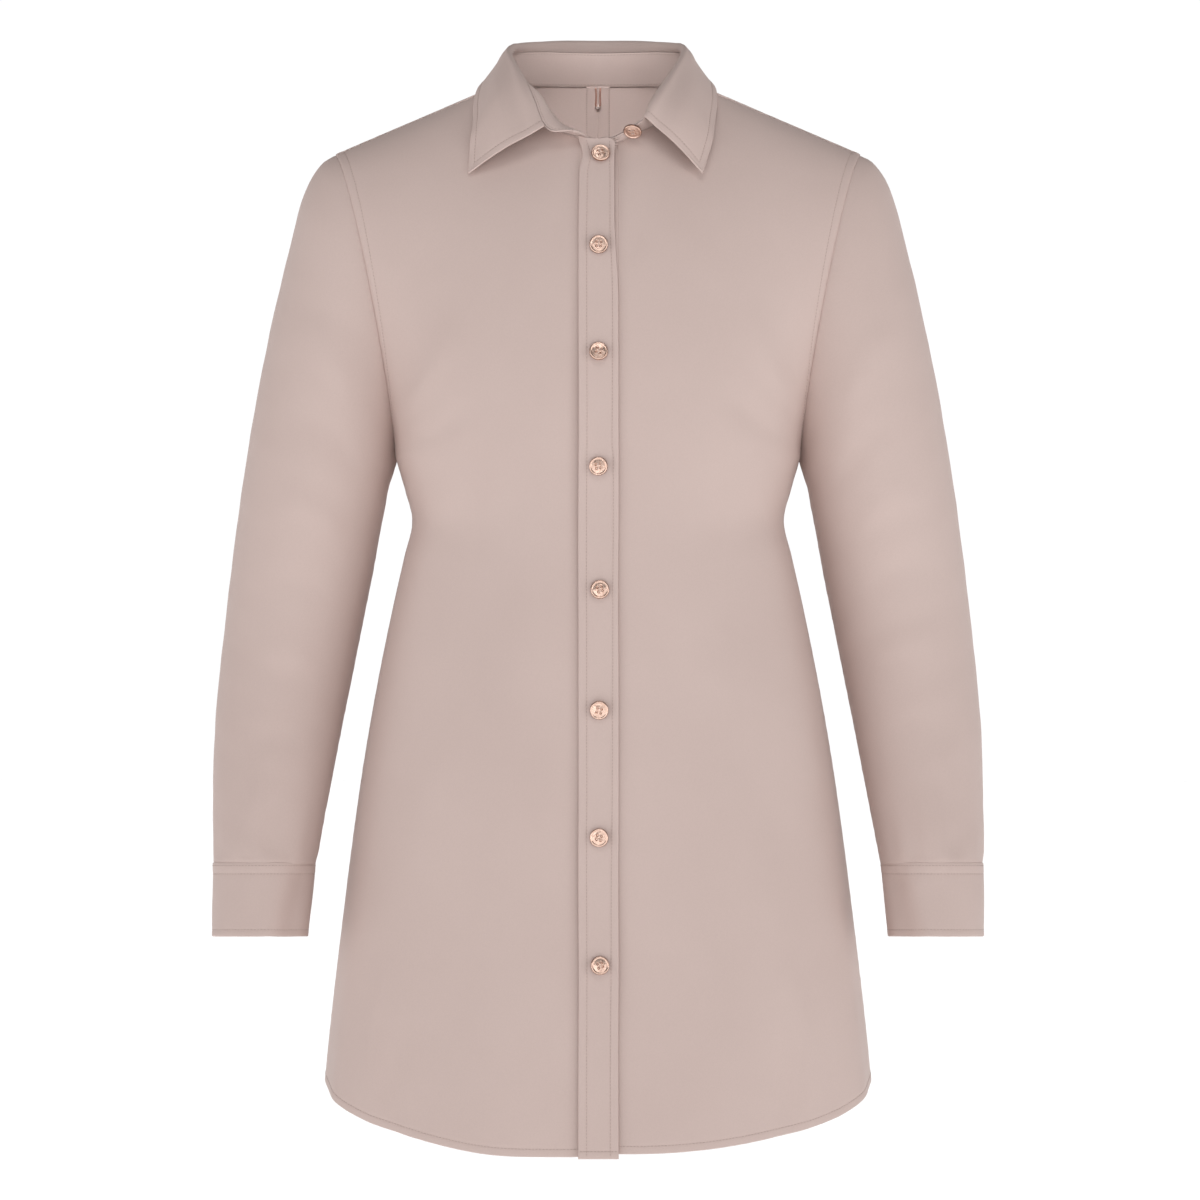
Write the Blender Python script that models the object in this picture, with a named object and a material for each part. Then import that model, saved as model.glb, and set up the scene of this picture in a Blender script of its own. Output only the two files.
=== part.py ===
"""A long A-line shirt blouse, filled out as when it is worn, with nobody in it.

The frame: X to the wearer's left, the front faces -Y, Z up. The origin lies between the
shoulders, level with the points where the neckline meets the shoulder seams. Sizes are in
millimetres in the tables and become metres when a mesh is made.
"""

from collections import namedtuple
import math

import bpy
import numpy as np

MM = 0.001

# Cloth
CLOTH = 1.2  # wall of a single layer
DOUBLE = 1.9  # cuffs, collar and plackets, which are folded double
SEAM = 0.32  # gap between two pieces that are sewn together
MITRE = 0.8  # least cosine by which a wall is lengthened at a folded seam

# Torso
UNDERARM = -298.0
HEM = -844.0  # at the centre front
HEM_RISE = 48.5  # how much higher the hem is at the side seams
HEM_RISE_START = 0.22  # share of the half width where it starts to rise
LEFT_FRONT_LIFT = 2.2  # how much shorter the left front hangs at the centre
# Where else its hem lies higher or lower (below 0): share of the half width, how wide, how much.
HemWave = namedtuple("HemWave", "s width lift")
LEFT_FRONT_WAVES = [HemWave(0.27, 0.11, 4.6), HemWave(0.56, 0.09, -3.2)]
SQUARENESS = 2.45  # exponent of the torso's oval sections

Section = namedtuple("Section", "height half_width front back")
TORSO = [
    Section(-870, 223.0, 138.2, 147),
    Section(-797, 217.4, 136.2, 144),
    Section(-733, 210.8, 134.2, 140),
    Section(-669, 203.2, 132, 135),
    Section(-605, 195.2, 129.6, 129),
    Section(-541, 186.0, 127.1, 122),
    Section(-477, 174.8, 124.6, 113),
    Section(-413, 161.6, 122.4, 105),
    Section(-378, 153.6, 121.4, 101),
    Section(-349, 147.4, 121, 99.5),
    Section(-324, 153.4, 121.2, 101),
    Section(-298, 161.0, 121.8, 104.5),
]

# Soft folds of the skirt: where round the body (0 centre front, 1 side seam, 2 centre back,
# negative on the wearer's right), how wide, where they start and how far they stand out.
Fold = namedtuple("Fold", "turn width top out")
FOLDS = [
    Fold(-0.72, 0.085, -560, 4.5),
    Fold(-0.46, 0.10, -600, -3.0),
    Fold(-0.25, 0.09, -640, 2.5),
    Fold(0.30, 0.10, -620, 3.0),
    Fold(0.52, 0.09, -600, -3.0),
    Fold(0.74, 0.085, -540, 4.5),
    Fold(1.30, 0.10, -560, 5.0),
    Fold(1.52, 0.09, -540, -4.0),
    Fold(1.76, 0.09, -580, 4.0),
    Fold(-1.26, 0.10, -550, 5.0),
    Fold(-1.50, 0.09, -560, -4.0),
    Fold(-1.78, 0.10, -570, 4.5),
]

# Neck and shoulders
NECK_HALF_WIDTH = 77.0
NECK_SEAM_Y = -15.0  # the shoulder seam lies this far in front of the ridge
NECK_FRONT_Y, NECK_FRONT_Z = -80.0, -52.0
NECK_BACK_Y, NECK_BACK_Z = 60.0, 4.0
NECK_SIDE_Z = -2.8
NECK_RISE = 1.5  # exponent of the front neckline's climb
NECK_AT = 0.42  # share of the half width whose column ends at the neck point
TIP = (209.0, -12.0, -58.8)  # outer end of the shoulder seam

# Placket, at the centre front
PLACKET_OUTER = 15.3  # its sewn edge, on the wearer's right
PLACKET_INNER = 15.6  # its free edge, on the wearer's left
LEFT_FRONT_EDGE = PLACKET_INNER + SEAM
RIGHT_FRONT_EDGE = 11.6
UNDER_PLACKET_EDGE = -RIGHT_FRONT_EDGE + SEAM
PLACKET_CORNER = 9.0  # radius of its rounded top corner
PLACKET_DROP = 1.5  # how far it reaches below the hem

# Buttons
BUTTON_RADIUS = 7.3
BUTTON_HEIGHT = 2.6
Button = namedtuple("Button", "across height")  # where it is sewn on the placket
BUTTONS = [
    Button(2.0, -64.3),
    Button(0.7, -136.6),
    Button(0.5, -220.1),
    Button(0.5, -308.9),
    Button(1.5, -404.8),
    Button(1.0, -498.3),
    Button(1.0, -597.1),
    Button(1.5, -696.0),
]
BAND_BUTTON = (0.911, 0.66)  # its station on the band and its share of the band's height

# Sleeve: outer and inner ends of each section as seen from the front, and how far it reaches
# before and behind its middle line, which bends forward below the elbow.
Ring = namedtuple("Ring", "outer_x outer_z inner_x inner_z middle_y front back")
SLEEVE = [
    Ring(209.0, -59.5, 161.0, -298, 0, 62, 57),
    Ring(221.0, -67.0, 162.0, -304, 0, 64, 60),
    Ring(233.5, -88.0, 163.5, -309, 0, 65, 62),
    Ring(245.5, -130, 165.5, -315, 0, 65, 63),
    Ring(256.5, -176, 168.5, -324, 0, 64, 63),
    Ring(266.5, -222, 171.0, -338, 1, 63, 62),
    Ring(275.8, -272, 175.0, -358, 2, 61, 60),
    Ring(285.0, -330, 180.8, -390, 4, 58, 58),
    Ring(293.0, -390, 188.8, -430, 5, 56, 56),
    Ring(299.5, -448, 197.5, -474, 3, 54, 54),
    Ring(304.6, -506, 206.4, -520, -5, 50, 50),
    Ring(306.0, -564, 215.4, -570, -16, 46, 46),
    Ring(304.6, -623, 225.0, -623, -30, 42, 42),
]
CUFF_TOP = -623.0
CUFF_BOTTOM = -677.0
Cuff = namedtuple("Cuff", "outer_x inner_x middle_y front back")
CUFF = [
    Cuff(305.8, 224.4, -30, 42.6, 42.6),
    Cuff(306.2, 227.0, -35, 42.0, 42.0),
    Cuff(305.6, 229.8, -41, 41.0, 41.0),
]

# Collar. Stations go round the neck from the wearer's right end (-1) to the left end (1).
# The band stands on the neckline; each row gives its middle and its upper edge.
Band = namedtuple("Band", "station middle top")
BAND = [
    Band(-1.00, (-14, -90.0, -47), (-20, -93.5, -46)),
    Band(-0.86, (-33, -84.0, -36), (-41.6, -93.0, -42)),
    Band(-0.78, (-43, -71.5, -20), (-50, -78.0, -20)),
    Band(-0.60, (-66, -45.0, -6), (-60, -45.0, 4)),
    Band(-0.42, (-75, -3.0, 13), (-72, -2.0, 22)),
    Band(-0.21, (-53, 36.5, 18), (-52, 35.5, 29.4)),
    Band(0.00, (0, 57.0, 19), (0, 56.0, 30.6)),
    Band(0.21, (53, 36.5, 18), (52, 35.5, 29.4)),
    Band(0.42, (74.5, -3.0, 13), (70, -2.0, 22)),
    Band(0.60, (64.5, -47.0, -7), (55, -48.0, 1)),
    Band(0.78, (43.5, -76.5, -30), (40, -82.0, -24)),
    Band(0.86, (35.5, -83.0, -39), (35.5, -90.0, -34.5)),
    Band(1.00, (7, -77.4, -49.2), (9, -77.0, -45.4)),
]
BAND_SIDE = 0.46  # the station over the shoulder seam
BAND_CENTRE = 1.03  # the station where the neckline reaches the centre front

# The leaf hangs from the band's upper edge: its highest line (the fold), how sharply it is
# folded there (1) or not at all (0), how far its fall bulges outwards, and its outer edge.
Leaf = namedtuple("Leaf", "station crest folded bulge edge")
LEAF = [
    Leaf(-0.86, (-50, -94.0, -47), 0.0, 2.0, (-102.5, -74.5, -77.4)),
    Leaf(-0.78, (-58, -79.0, -25), 0.0, 4.0, (-101.9, -69.0, -64.8)),
    Leaf(-0.60, (-66, -45.0, 8), 0.55, 3.5, (-100, -57.4, -40.4)),
    Leaf(-0.42, (-71.4, -2.0, 28.2), 1.0, -0.8, (-95.0, -4.0, -3.5)),
    Leaf(-0.21, (-53, 38.5, 37.2), 1.0, 2.5, (-72, 60.0, -4)),
    Leaf(0.00, (0, 60.0, 40.2), 1.0, 3.0, (0, 83.0, -6)),
    Leaf(0.21, (53, 38.5, 37.2), 1.0, 2.5, (72, 60.0, -4)),
    Leaf(0.42, (69.4, -2.0, 28.2), 1.0, -0.8, (93.2, -4.0, -3.5)),
    Leaf(0.60, (60, -49.5, 4), 0.6, 3.0, (92.5, -58.6, -39.5)),
    Leaf(0.78, (46, -86.0, -25), 0.25, 3.5, (87.2, -76.3, -63.2)),
    Leaf(0.86, (41, -92.5, -38.5), 0.0, 2.0, (82.6, -85.2, -78.1)),
]
FOLD_RADIUS = 2.8

# Hanger loop, inside the centre back neck
LOOP_WIDTH = 5.4
LOOP_DROP = 14.0
LOOP_RIBBON = 1.5

# How finely the pieces are made
SKIRT_ROWS = 12
CHEST_ROWS = 11
NECK_COLUMNS = 5
SHOULDER_COLUMNS = 7
RING_COUNT = 15
LEAF_COLUMNS = 31
END_COLUMNS = 2  # of the band, past each end of the leaf

ROSE_CLOTH = (0.545, 0.430, 0.392, 1.0)
ROSE_GOLD = (0.62, 0.38, 0.29, 1.0)
RIBBON = (0.40, 0.22, 0.18, 1.0)


# Curves and small sums


def through(knots, values, at):
    """Smooth curve through the values at rising knots, read at the places given."""
    knots = np.asarray(knots, float)
    values = np.asarray(values, float)
    at = np.asarray(at, float)
    slopes = np.gradient(values, knots, axis=0)
    i = np.clip(np.searchsorted(knots, at, side="right") - 1, 0, len(knots) - 2)
    step = knots[i + 1] - knots[i]
    u = np.clip((at - knots[i]) / step, 0.0, 1.0)
    if values.ndim > 1:
        u, step = u[..., None], step[..., None]
    return (
        (2 * u**3 - 3 * u**2 + 1) * values[i]
        + (u**3 - 2 * u**2 + u) * step * slopes[i]
        + (3 * u**2 - 2 * u**3) * values[i + 1]
        + (u**3 - u**2) * step * slopes[i + 1]
    )


def column(table, name):
    return [getattr(row, name) for row in table]


def ramp(x):
    """0 below 0, 1 above 1, and smooth between."""
    x = np.clip(x, 0.0, 1.0)
    return x * x * (3 - 2 * x)


def unit(vectors):
    return vectors / np.maximum(np.linalg.norm(vectors, axis=-1, keepdims=True), 1e-9)


def vectors_of(x, y, z):
    return np.stack(np.broadcast_arrays(x, y, z), axis=-1).astype(float)


def bezier(points, t):
    """Cubic curve from four control points, at t from 0 to 1."""
    t = np.asarray(t, float)[..., None]
    a, b, c, d = points
    return (1 - t) ** 3 * a + 3 * (1 - t) ** 2 * t * b + 3 * (1 - t) * t**2 * c + t**3 * d


# The body's outer surface, on the wearer's left half. s runs from the centre (0) to the side
# (1); v runs from the hem (-1) over the underarm line (0) to the neckline or shoulder (1).


def section(s, z, face):
    """A point of the torso's section at height z, with its fore-and-aft sign in face."""
    heights = column(TORSO, "height")
    half_width = through(heights, column(TORSO, "half_width"), z)
    depth = through(heights, column(TORSO, "front" if face < 0 else "back"), z)
    angle = np.asarray(s, float) * math.pi / 2
    x = half_width * np.sin(angle) ** (2 / SQUARENESS)
    y = face * depth * np.maximum(np.cos(angle), 0) ** (2 / SQUARENESS)
    return vectors_of(x, y, z)


def hem_height(s, face, side):
    rise = HEM_RISE * ramp((s - HEM_RISE_START) / (1 - HEM_RISE_START))
    if face < 0 and side > 0:
        rise = rise + LEFT_FRONT_LIFT * (1 - ramp(s))
        for wave in LEFT_FRONT_WAVES:
            rise = rise + wave.lift * np.exp(-(((s - wave.s) / wave.width) ** 2))
    return HEM + rise


def folded_out(points, s, face, side):
    """Moves points of the skirt in or out by the soft folds that pass there."""
    turn = side * np.where(face < 0, s, 2 - s)
    moved = np.zeros(points.shape[:-1])
    for fold in FOLDS:
        shape = np.exp(-(((turn - fold.turn) / fold.width) ** 2))
        moved += fold.out * shape * ramp((fold.top - points[..., 2]) / (fold.top - HEM))
    outward = unit(points * (1.0, 1.0, 0.0))
    return points + outward * moved[..., None]


def skirt(s, v, face, side):
    """Below the underarm line."""
    s, v = np.broadcast_arrays(np.asarray(s, float), np.asarray(v, float))
    lift = (hem_height(s, face, side) - HEM) * ramp((-v - 0.25) / 0.75)
    z = UNDERARM + v * (UNDERARM - HEM) + lift
    return folded_out(section(s, z, face), s, face, side)


def neckline(q, face):
    """From the centre (0) to the neck point (1), in front (face -1) or behind (1)."""
    q = np.asarray(q, float)
    x = NECK_HALF_WIDTH * np.sin(q * math.pi / 2)
    middle = NECK_FRONT_Y if face < 0 else NECK_BACK_Y
    y = NECK_SEAM_Y + (middle - NECK_SEAM_Y) * np.cos(q * math.pi / 2)
    if face < 0:
        z = NECK_FRONT_Z + (NECK_SIDE_Z - NECK_FRONT_Z) * np.maximum(q, 0) ** NECK_RISE
    else:
        z = NECK_BACK_Z + (NECK_SIDE_Z - NECK_BACK_Z) * q**2
    return vectors_of(x, y, z)


def top_edge(s, face):
    """Neckline up to the neck point, then the shoulder seam out to its tip."""
    s = np.asarray(s, float)
    neck = neckline(np.clip(s / NECK_AT, 0, 1), face)
    along = np.clip((s - NECK_AT) / (1 - NECK_AT), 0, 1)[..., None]
    neck_point = np.array((NECK_HALF_WIDTH, NECK_SEAM_Y, NECK_SIDE_Z))
    seam = neck_point + (np.array(TIP) - neck_point) * along
    return np.where((s <= NECK_AT)[..., None], neck, seam)


# Handles of the chest's and back's curves, by their place across the half width: from the
# underarm line the length and how far it turns forward along the armhole, and at the top edge
# the step back from it.
Handle = namedtuple("Handle", "s length turn fuller step")
FRONT_HANDLES = [
    Handle(0.00, 88, 0, 5, (0, -30, -62)),
    Handle(0.21, 88, 0, 7, (15, -38, -56)),
    Handle(0.42, 86, 6, 9, (36, -60, -42)),
    Handle(0.70, 84, 24, 6, (6, -74, -22)),
    Handle(1.00, 88, 60, 0, (-15, -70, -17)),
]
BACK_HANDLES = [
    Handle(0.00, 95, 0, 5, (0, 46, -82)),
    Handle(0.21, 95, 0, 6, (22, 52, -56)),
    Handle(0.42, 92, 6, 8, (42, 74, -8)),
    Handle(0.70, 86, 24, 6, (12, 90, 9)),
    Handle(1.00, 84, 60, 0, (-7, 90, 14.5)),
]


def chest_controls(s, face):
    """The four control points of the curve that rises from the underarm line at s."""
    s = np.asarray(s, float)
    table = FRONT_HANDLES if face < 0 else BACK_HANDLES
    places = column(table, "s")
    start = section(s, UNDERARM, face)
    length = through(places, column(table, "length"), s)[..., None]
    turn = np.radians(through(places, column(table, "turn"), s))[..., None]
    fuller = through(places, column(table, "fuller"), s)[..., None]
    centre = section(np.maximum(s - 0.02, 0), UNDERARM, face)
    inward = unit(centre - start + np.array((-1e-6, 0, 0)))
    up = np.array((0.0, 0.0, 1.0))
    first = start + length * (np.cos(turn) * up + np.sin(turn) * inward)
    first = first + fuller * np.array((0.0, face, 0.0))
    end = top_edge(s, face)
    second = end + through(places, column(table, "step"), s)
    return start, first, second, end


def chest(s, v, face):
    s, v = np.broadcast_arrays(np.asarray(s, float), np.asarray(v, float))
    return bezier(chest_controls(s, face), v)


def body(s, v, face, side=1):
    """The body's outer surface; side is 1 for the wearer's left and -1 for the right."""
    s, v = np.broadcast_arrays(np.asarray(s, float), np.asarray(v, float))
    low = skirt(s, np.minimum(v, 0.0), face, side)
    high = chest(s, np.maximum(v, 0.0), face)
    return np.where((v < 0)[..., None], low, high)


def share_at(x, v, face, side=1):
    """The s at which the body's surface lies x from the centre, on each of the rows v."""
    low, high = np.zeros_like(v), np.full_like(v, 0.4)
    for _ in range(30):
        middle = (low + high) / 2
        less = body(middle, v, face, side)[..., 0] < x
        low, high = np.where(less, middle, low), np.where(less, high, middle)
    return (low + high) / 2


def near_centre(x, v, side):
    """A point of the front's surface at x, which may lie on either side of the centre."""
    x, v = np.broadcast_arrays(np.asarray(x, float), np.asarray(v, float))
    s = share_at(np.abs(x), v, -1, side)
    points = body(s, v, -1, side)
    points[..., 0] = x
    return points


# The sleeve's outer surface, on the wearer's left. turn runs round it from the top (0), down
# the front (0.25) to the underarm (0.5) and up the back; ring runs from 0 to the last row.


def armhole(turn):
    turn = np.asarray(turn, float)
    front = bezier(chest_controls(np.ones_like(turn), -1), 1 - 2 * turn)
    back = bezier(chest_controls(np.ones_like(turn), 1), 2 * turn - 1)
    return np.where((turn <= 0.5)[..., None], front, back)


CAP_BLEND = 4.5  # rings over which the armhole's own shape passes into an oval


def sleeve(turn, ring):
    turn, ring = np.broadcast_arrays(np.asarray(turn, float), np.asarray(ring, float))
    index = np.arange(len(SLEEVE))
    read = {name: through(index, column(SLEEVE, name), ring) for name in Ring._fields}
    middle_x = (read["outer_x"] + read["inner_x"]) / 2
    middle_z = (read["outer_z"] + read["inner_z"]) / 2
    half_x = (read["outer_x"] - read["inner_x"]) / 2
    half_z = (read["outer_z"] - read["inner_z"]) / 2

    first = SLEEVE[0]
    hole = armhole(turn)
    centre = np.array((first.outer_x + first.inner_x, 0, first.outer_z + first.inner_z)) / 2
    half = np.array((first.outer_x - first.inner_x, 0, first.outer_z - first.inner_z)) / 2
    along = ((hole - centre) @ half) / (half @ half)
    aside = hole - centre - along[..., None] * half
    oval = turn * 2 * math.pi
    own = 1 - ramp(ring / CAP_BLEND)
    along = own * along + (1 - own) * np.cos(oval)
    reach = np.where(turn <= 0.5, read["front"], read["back"])
    y = own * aside[..., 1] * reach / np.where(turn <= 0.5, first.front, first.back)
    y = y - (1 - own) * reach * np.sin(oval)
    return vectors_of(
        middle_x + half_x * along + own * aside[..., 0],
        read["middle_y"] + y,
        middle_z + half_z * along + own * aside[..., 2],
    )


def cuff(turn, down):
    """The cuff's outer surface; down runs from its seam (0) to its lower edge (1)."""
    turn, down = np.broadcast_arrays(np.asarray(turn, float), np.asarray(down, float))
    places = np.linspace(0, 1, len(CUFF))
    read = {name: through(places, column(CUFF, name), down) for name in Cuff._fields}
    oval = turn * 2 * math.pi
    reach = np.where(turn <= 0.5, read["front"], read["back"])
    return vectors_of(
        (read["outer_x"] + read["inner_x"]) / 2
        + (read["outer_x"] - read["inner_x"]) / 2 * np.cos(oval),
        read["middle_y"] - reach * np.sin(oval),
        CUFF_TOP + (CUFF_BOTTOM - CUFF_TOP) * down,
    )


# The collar's middle surfaces


def band_foot(station, middle):
    """The neckline under each station, raised just clear of the body's upper edge."""
    away = np.abs(station)
    behind = away <= BAND_SIDE
    q = np.where(behind, away / BAND_SIDE, (BAND_CENTRE - away) / (BAND_CENTRE - BAND_SIDE))
    step = 0.01
    feet = []
    for face in (-1, 1):
        _, _, before, foot = chest_controls(q * NECK_AT, face)
        tangent = neckline(q + step, face) - neckline(q - step, face)
        rise = unit(np.cross(np.cross(tangent, foot - before), tangent))
        feet.append((foot, rise))
    foot, rise = (np.where(behind[..., None], back, front) for front, back in zip(*feet))
    mirror = vectors_of(np.where(station < 0, -1.0, 1.0), 1.0, 1.0)
    foot, rise = foot * mirror, rise * mirror
    leaning = unit(middle - foot)
    sine = np.linalg.norm(np.cross(leaning, rise), axis=-1, keepdims=True)
    return foot + rise * (SEAM + 0.1 + (DOUBLE / 2 + 0.3) * sine)


def band(station, up):
    """up runs from the sewn edge (0) to the upper edge (1)."""
    station, up = np.broadcast_arrays(np.asarray(station, float), np.asarray(up, float))
    places = column(BAND, "station")
    middle = through(places, column(BAND, "middle"), station)
    top = through(places, column(BAND, "top"), station)
    neck = band_foot(station, middle)
    u = up[..., None]
    return neck * (1 - u) * (1 - 2 * u) + middle * 4 * u * (1 - u) + top * u * (2 * u - 1)


def leaf(station, down):
    """down runs from the seam with the band (0) over the fold to the outer edge (1)."""
    station, down = np.broadcast_arrays(np.asarray(station, float), np.asarray(down, float))
    start = band(station, 1.0)
    places = column(LEAF, "station")
    crest = through(places, column(LEAF, "crest"), station)
    edge = through(places, column(LEAF, "edge"), station)
    folded = np.clip(through(places, column(LEAF, "folded"), station), 0, 1)[..., None]
    bulge = through(places, column(LEAF, "bulge"), station)[..., None]
    outward = unit((edge - crest) * (1, 1, 0))
    down_slope = unit(edge - crest)
    up = np.array((0.0, 0.0, 1.0))
    lower = FOLD_RADIUS * up
    inner = crest - folded * (outward * FOLD_RADIUS + lower) - (1 - folded) * down_slope * 3
    outer = crest + folded * (outward * FOLD_RADIUS - lower) + (1 - folded) * down_slope * 3
    beside = through(places, column(LEAF, "crest"), station + 0.01)
    before = through(places, column(LEAF, "crest"), station - 0.01)
    away = unit(np.cross(beside - before, down_slope))
    upper_fall = outer + (edge - outer) * 0.33 + away * bulge
    lower_fall = outer + (edge - outer) * 0.67 + away * bulge * 0.8
    knots = (0.0, 0.12, 0.18, 0.24, 0.5, 0.75, 1.0)
    rails = np.stack((start, inner, crest, outer, upper_fall, lower_fall, edge))
    slopes = np.gradient(rails, np.array(knots), axis=0)
    i = np.clip(np.searchsorted(knots, down, side="right") - 1, 0, len(knots) - 2)
    step = np.diff(knots)[i]
    u = ((down - np.array(knots)[i]) / step)[..., None]
    step = step[..., None]

    def pick(values, index):
        return np.take_along_axis(values, index[None, ..., None], axis=0)[0]

    return (
        (2 * u**3 - 3 * u**2 + 1) * pick(rails, i)
        + (u**3 - 2 * u**2 + u) * step * pick(slopes, i)
        + (3 * u**2 - 2 * u**3) * pick(rails, i + 1)
        + (u**3 - u**2) * step * pick(slopes, i + 1)
    )


# From surfaces to walls


def normals(grid, sign, closed=False):
    """Unit normals of a grid of points; sign turns them to the outside."""
    if closed:
        across = np.roll(grid, -1, axis=1) - np.roll(grid, 1, axis=1)
    else:
        across = np.gradient(grid, axis=1)
    return sign * unit(np.cross(across, np.gradient(grid, axis=0)))


def share_normals(*parts):
    """Gives the borders of pieces that meet at a seam one direction to thicken along.

    Each part is a view into an array of normals. The shared direction is lengthened so that
    each wall keeps its thickness where two pieces meet at an angle.
    """
    shared = unit(sum(parts))
    for part in parts:
        cosine = np.sum(part * shared, axis=-1, keepdims=True)
        part[:] = shared / np.clip(cosine, MITRE, 1.0)


def pulled_in(grid, *borders, by=SEAM / 2):
    """Moves the named borders of a grid into it, so that a gap is left at the seam."""
    grid = grid.copy()
    flipped = grid.transpose(1, 0, 2)
    for border in borders:
        view = grid if "row" in border else flipped
        edge, beside = (0, 1) if "first" in border else (-1, -2)
        view[edge] += unit(view[beside] - view[edge]) * by
    return grid


def material(name, colour, roughness, metallic=0.0):
    made = bpy.data.materials.new(name)
    made.use_nodes = True
    shader = made.node_tree.nodes["Principled BSDF"]
    shader.inputs["Base Color"].default_value = colour
    shader.inputs["Roughness"].default_value = roughness
    shader.inputs["Metallic"].default_value = metallic
    made.diffuse_color = colour
    return made


def add_object(name, points, faces, colour=ROSE_CLOTH, roughness=0.8, metallic=0.0):
    mesh = bpy.data.meshes.new(name)
    mesh.from_pydata((np.asarray(points) * MM).tolist(), [], faces)
    mesh.materials.append(material(name, colour, roughness, metallic))
    mesh.shade_smooth()
    mesh.set_sharp_from_angle(angle=math.radians(45))
    placed = bpy.data.objects.new(name, mesh)
    bpy.context.scene.collection.objects.link(placed)
    return placed


def add_wall(name, outer, inner, closed=False, turned=False):
    """A closed solid between two grids of the same size. turned reverses the faces."""
    rows, columns = outer.shape[:2]
    count = rows * columns

    points = np.concatenate((outer.reshape(-1, 3), inner.reshape(-1, 3)))

    def at(row, col):
        return row * columns + col % columns

    def add_border(a, b):
        """Two triangles from outer to inner, split alike in both pieces of a seam."""
        if points[a, 2] > points[b, 2]:
            faces.extend(([a, b, count + b], [a, count + b, count + a]))
        else:
            faces.extend(([a, b, count + a], [b, count + b, count + a]))

    faces = []
    last = columns if closed else columns - 1
    for row in range(rows - 1):
        for col in range(last):
            quad = [at(row, col), at(row, col + 1), at(row + 1, col + 1), at(row + 1, col)]
            faces.append(quad)
            faces.append([count + k for k in reversed(quad)])
    for col in range(last):
        add_border(at(0, col + 1), at(0, col))
        add_border(at(rows - 1, col), at(rows - 1, col + 1))
    if not closed:
        for row in range(rows - 1):
            add_border(at(row, 0), at(row + 1, 0))
            add_border(at(row + 1, columns - 1), at(row, columns - 1))
    if turned:
        faces = [face[::-1] for face in faces]
    return add_object(name, points, faces)


def mirrored(grid):
    return grid * (-1.0, 1.0, 1.0)


# The pieces


def body_rows():
    skirt_part = np.linspace(-1, 0, SKIRT_ROWS, endpoint=False)
    return np.concatenate((skirt_part, np.linspace(0, 1, CHEST_ROWS)))


def front_shares(rows, edge_x, side):
    """For each row, the s of each column, from the front edge to the side."""
    start = share_at(np.full_like(rows, edge_x), rows, -1, side)[:, None]
    to_neck = start + (NECK_AT - start) * np.linspace(0, 1, NECK_COLUMNS, endpoint=False)
    to_side = np.linspace(NECK_AT, 1, SHOULDER_COLUMNS)
    return np.concatenate((to_neck, np.tile(to_side, (len(rows), 1))), axis=1)


def back_shares(rows):
    to_neck = np.linspace(0, NECK_AT, NECK_COLUMNS, endpoint=False)
    to_side = np.linspace(NECK_AT, 1, SHOULDER_COLUMNS)
    return np.tile(np.concatenate((to_neck, to_side)), (len(rows), 1))


def torso_half(side):
    """Outer points and normals of one half's front, back and sleeve, with shared seams.

    The half is made on the wearer's left; side only picks its folds and its front edge.
    """
    rows = body_rows()
    v = rows[:, None]
    edge_x = LEFT_FRONT_EDGE if side > 0 else RIGHT_FRONT_EDGE
    front = body(front_shares(rows, edge_x, side), v, -1, side)
    back = body(back_shares(rows), v, 1, side)
    turns = np.linspace(0, 1, 2 * (CHEST_ROWS - 1), endpoint=False)
    rings = np.linspace(0, len(SLEEVE) - 1, RING_COUNT)
    arm = sleeve(turns[None, :], rings[:, None])

    front_n = normals(front, 1)
    back_n = normals(back, -1)
    arm_n = normals(arm, 1, closed=True)
    back_n[:, 0] = unit(back_n[:, 0] * (0, 1, 1))

    up = CHEST_ROWS - 1
    share_normals(front_n[:SKIRT_ROWS, -1], back_n[:SKIRT_ROWS, -1])
    share_normals(front_n[SKIRT_ROWS, -1], back_n[SKIRT_ROWS, -1], arm_n[0, up])
    share_normals(front_n[SKIRT_ROWS + 1 : -1, -1], arm_n[0, up - 1 : 0 : -1])
    share_normals(back_n[SKIRT_ROWS + 1 : -1, -1], arm_n[0, up + 1 :])
    share_normals(front_n[-1, NECK_COLUMNS:-1], back_n[-1, NECK_COLUMNS:-1])
    share_normals(front_n[-1, -1], back_n[-1, -1], arm_n[0, 0])
    return front, front_n, back, back_n, arm, arm_n


def add_half(side):
    """One half's front, back, sleeve and cuff."""
    end = "left" if side > 0 else "right"
    place = (lambda grid: grid) if side > 0 else mirrored
    front, front_n, back, back_n, arm, arm_n = torso_half(side)

    def add(name, outer, inner, borders, outward, closed=False):
        outer, inner = (place(pulled_in(grid, *borders)) for grid in (outer, inner))
        turned = outward * side < 0
        add_wall(f"{name}_{end}", outer, inner, closed, turned)

    inner = front - front_n * CLOTH
    add("front", front, inner, ("last column", "last row"), 1)
    inner = back - back_n * CLOTH
    add("back", back, inner, ("first column", "last column", "last row"), -1)
    inner = arm - arm_n * CLOTH
    add("sleeve", arm, inner, ("first row", "last row"), 1, closed=True)

    turns = np.linspace(0, 1, arm.shape[1], endpoint=False)
    outer = cuff(turns[None, :], np.linspace(0, 1, 4)[:, None])
    inner = outer - normals(outer, 1, closed=True) * DOUBLE
    inner[..., 2] = outer[..., 2]
    add("cuff", outer, inner, ("first row",), 1, closed=True)


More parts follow.
